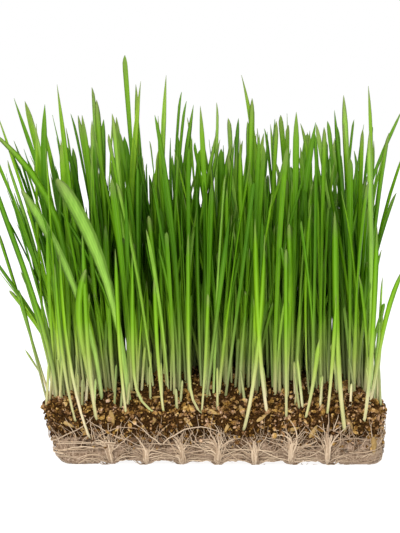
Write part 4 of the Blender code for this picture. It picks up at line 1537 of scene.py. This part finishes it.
def at_trunk(coarse, place, rng):
    """One trunk's roots. Its habit says how far it leans and spreads, and how tall and full it is."""
    spans = ((0.25, 0.8), (0.65, 1.4), (0.55, 1.25))
    habit = Habit(rng.normal(0, 0.3), *[rng.uniform(*span) for span in spans])
    for add_root, count in AT_TRUNK:
        for _ in range(round(count * habit.full)):
            add_root(coarse, place, habit, rng)


def in_gap(coarse, fibres, start, end, rng):
    """The roots and fibres between two trunks."""
    for add_root, count in IN_GAP:
        for _ in range(count):
            add_root(coarse, start, end, rng)
    for _ in range(FIBRES_IN_GAP):
        add_fibre(fibres, start, end, rng)


rng = np.random.default_rng(ROOT_SEED)
coarse, fibres = Strands(rng), Strands(rng)
places = bundle_places()
for place, following in zip(places, places[1:] + [places[0] + PERIMETER]):
    at_trunk(coarse, place, rng)
    gaps = max(1, round((following - place) / HOLE_PITCH))
    for k in range(gaps):
        start, end = [place + (following - place) * share / gaps for share in (k, k + 1)]
        in_gap(coarse, fibres, start, end, rng)
ROOT_STRANDS = coarse.build("root_strands", STRAND_SIDES)
ROOT_FIBRES = fibres.build("root_fibres", FIBRE_SIDES)
print("strands and fibres:", len(coarse.lines), len(fibres.lines))

# %% [markdown]
# ## Roots under the slab
#
# Underneath, roots radiate from each drain hole's bundle over the arched felt. They can't be seen while the
# slab stands, and a plain underside would do for one picture. But the slab may be turned over, so they are
# made too, as tubes with three sides that follow the underside's own height.

# %% Roots under the slab
UNDER_ROOTS_EACH = 9
UNDER_ROWS = [*BUNDLE_ROWS, -50 * MM, 50 * MM]
UNDER_REACH = 51 * MM
UNDER_TAPER = np.interp(STEP, [0, 1], [1, 0.5])


def underside_root(x, y, rng):
    """The line and radii of one root that leaves a bundle."""
    turn = rng.uniform(0, 2 * math.pi) + rng.normal(0, 0.5) * STEP
    away = rng.uniform(5, 15) * MM * STEP
    run_x = x + away * np.cos(turn)
    run_y = np.clip(y + away * np.sin(turn), -UNDER_REACH, UNDER_REACH)
    thick = rng.uniform(0.2, 0.42) * MM
    heights = np.array([underside_height(a, b) for a, b in zip(run_x, run_y)])
    line = np.column_stack([run_x, run_y, np.maximum(heights - 0.1 * MM, thick)])
    return line, thick * UNDER_TAPER


def underside_roots(rng):
    """Strands from each bundle outward over the underside."""
    bundles = [(x, y) for x in BUNDLES for y in UNDER_ROWS for _ in range(UNDER_ROOTS_EACH)]
    roots = [underside_root(x, y, rng) for x, y in bundles]
    lines, radii = np.array([r[0] for r in roots]), np.array([r[1] for r in roots])
    vertices, faces = tubes(lines, radii, FIBRE_SIDES, np.array([0, 0, -1.0])[None, None])
    tones = np.repeat(rng.uniform(size=len(lines)), STRAND_POINTS * FIBRE_SIDES)
    return mesh_object("underside_roots", vertices, faces, {"tone": tones})


UNDERSIDE_ROOTS = underside_roots(rng)
print("roots underneath:", len(BUNDLES) * len(UNDER_ROWS) * UNDER_ROOTS_EACH)

# %% [markdown]
# ## Finish: roots and felt
#
# Roots are a pale beige-pink with a slight shine. The felt is the same colour where it is thick, near the
# foot and at the ends, and lets the brown medium through higher up. Every fibre can't be a tube, so noise
# stretched long and thin in two directions draws the finest ones.

# %% Root and felt materials


def root_finish():
    """Pale beige roots."""
    finish = Finish("root_beige", 0.6)
    grain = finish.noise(1200, 2)
    mixed = finish.math("MULTIPLY_ADD", grain, 0.4, finish.math("MULTIPLY", finish.value("tone"), 0.7))
    finish.colour(finish.ramp(mixed, [
        (0.1, (0.19, 0.118, 0.066)), (0.45, (0.34, 0.238, 0.15)), (0.8, (0.52, 0.395, 0.27)),
    ]))
    finish.bump(grain, 0.3, 0.15 * MM)
    return finish.material


def felt_finish():
    """Felt of fine roots where the mesh says that it is pale, and the brown medium elsewhere."""
    finish = Finish("root_felt", 0.85)
    fibre = finish.math("MAXIMUM", finish.noise(1, 3, (90, 90, 900)), finish.noise(1, 3, (700, 700, 130)))
    felt = finish.ramp(fibre, [
        (0.42, (0.14, 0.083, 0.044)), (0.55, (0.31, 0.213, 0.142)), (0.7, (0.50, 0.37, 0.272)),
    ])
    brown = finish.ramp(finish.noise(420, 4), [(0.35, (0.02, 0.009, 0.003)), (0.7, (0.15, 0.075, 0.028))])
    spots = finish.math("MULTIPLY_ADD", finish.noise(240, 3), 1.6, -0.8)
    cover = finish.span(finish.math("ADD", finish.value("pale"), spots), 0.15, 0.6)
    finish.colour(finish.mix(cover, brown, felt))
    finish.bump(fibre, 0.7, 0.6 * MM)
    return finish.material


settle(ROOT_FELT, felt_finish())
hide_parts("root_mat")
ROOT = root_finish()
for piece in (ROOT_STRANDS, ROOT_FIBRES, UNDERSIDE_ROOTS):
    settle(piece, ROOT)
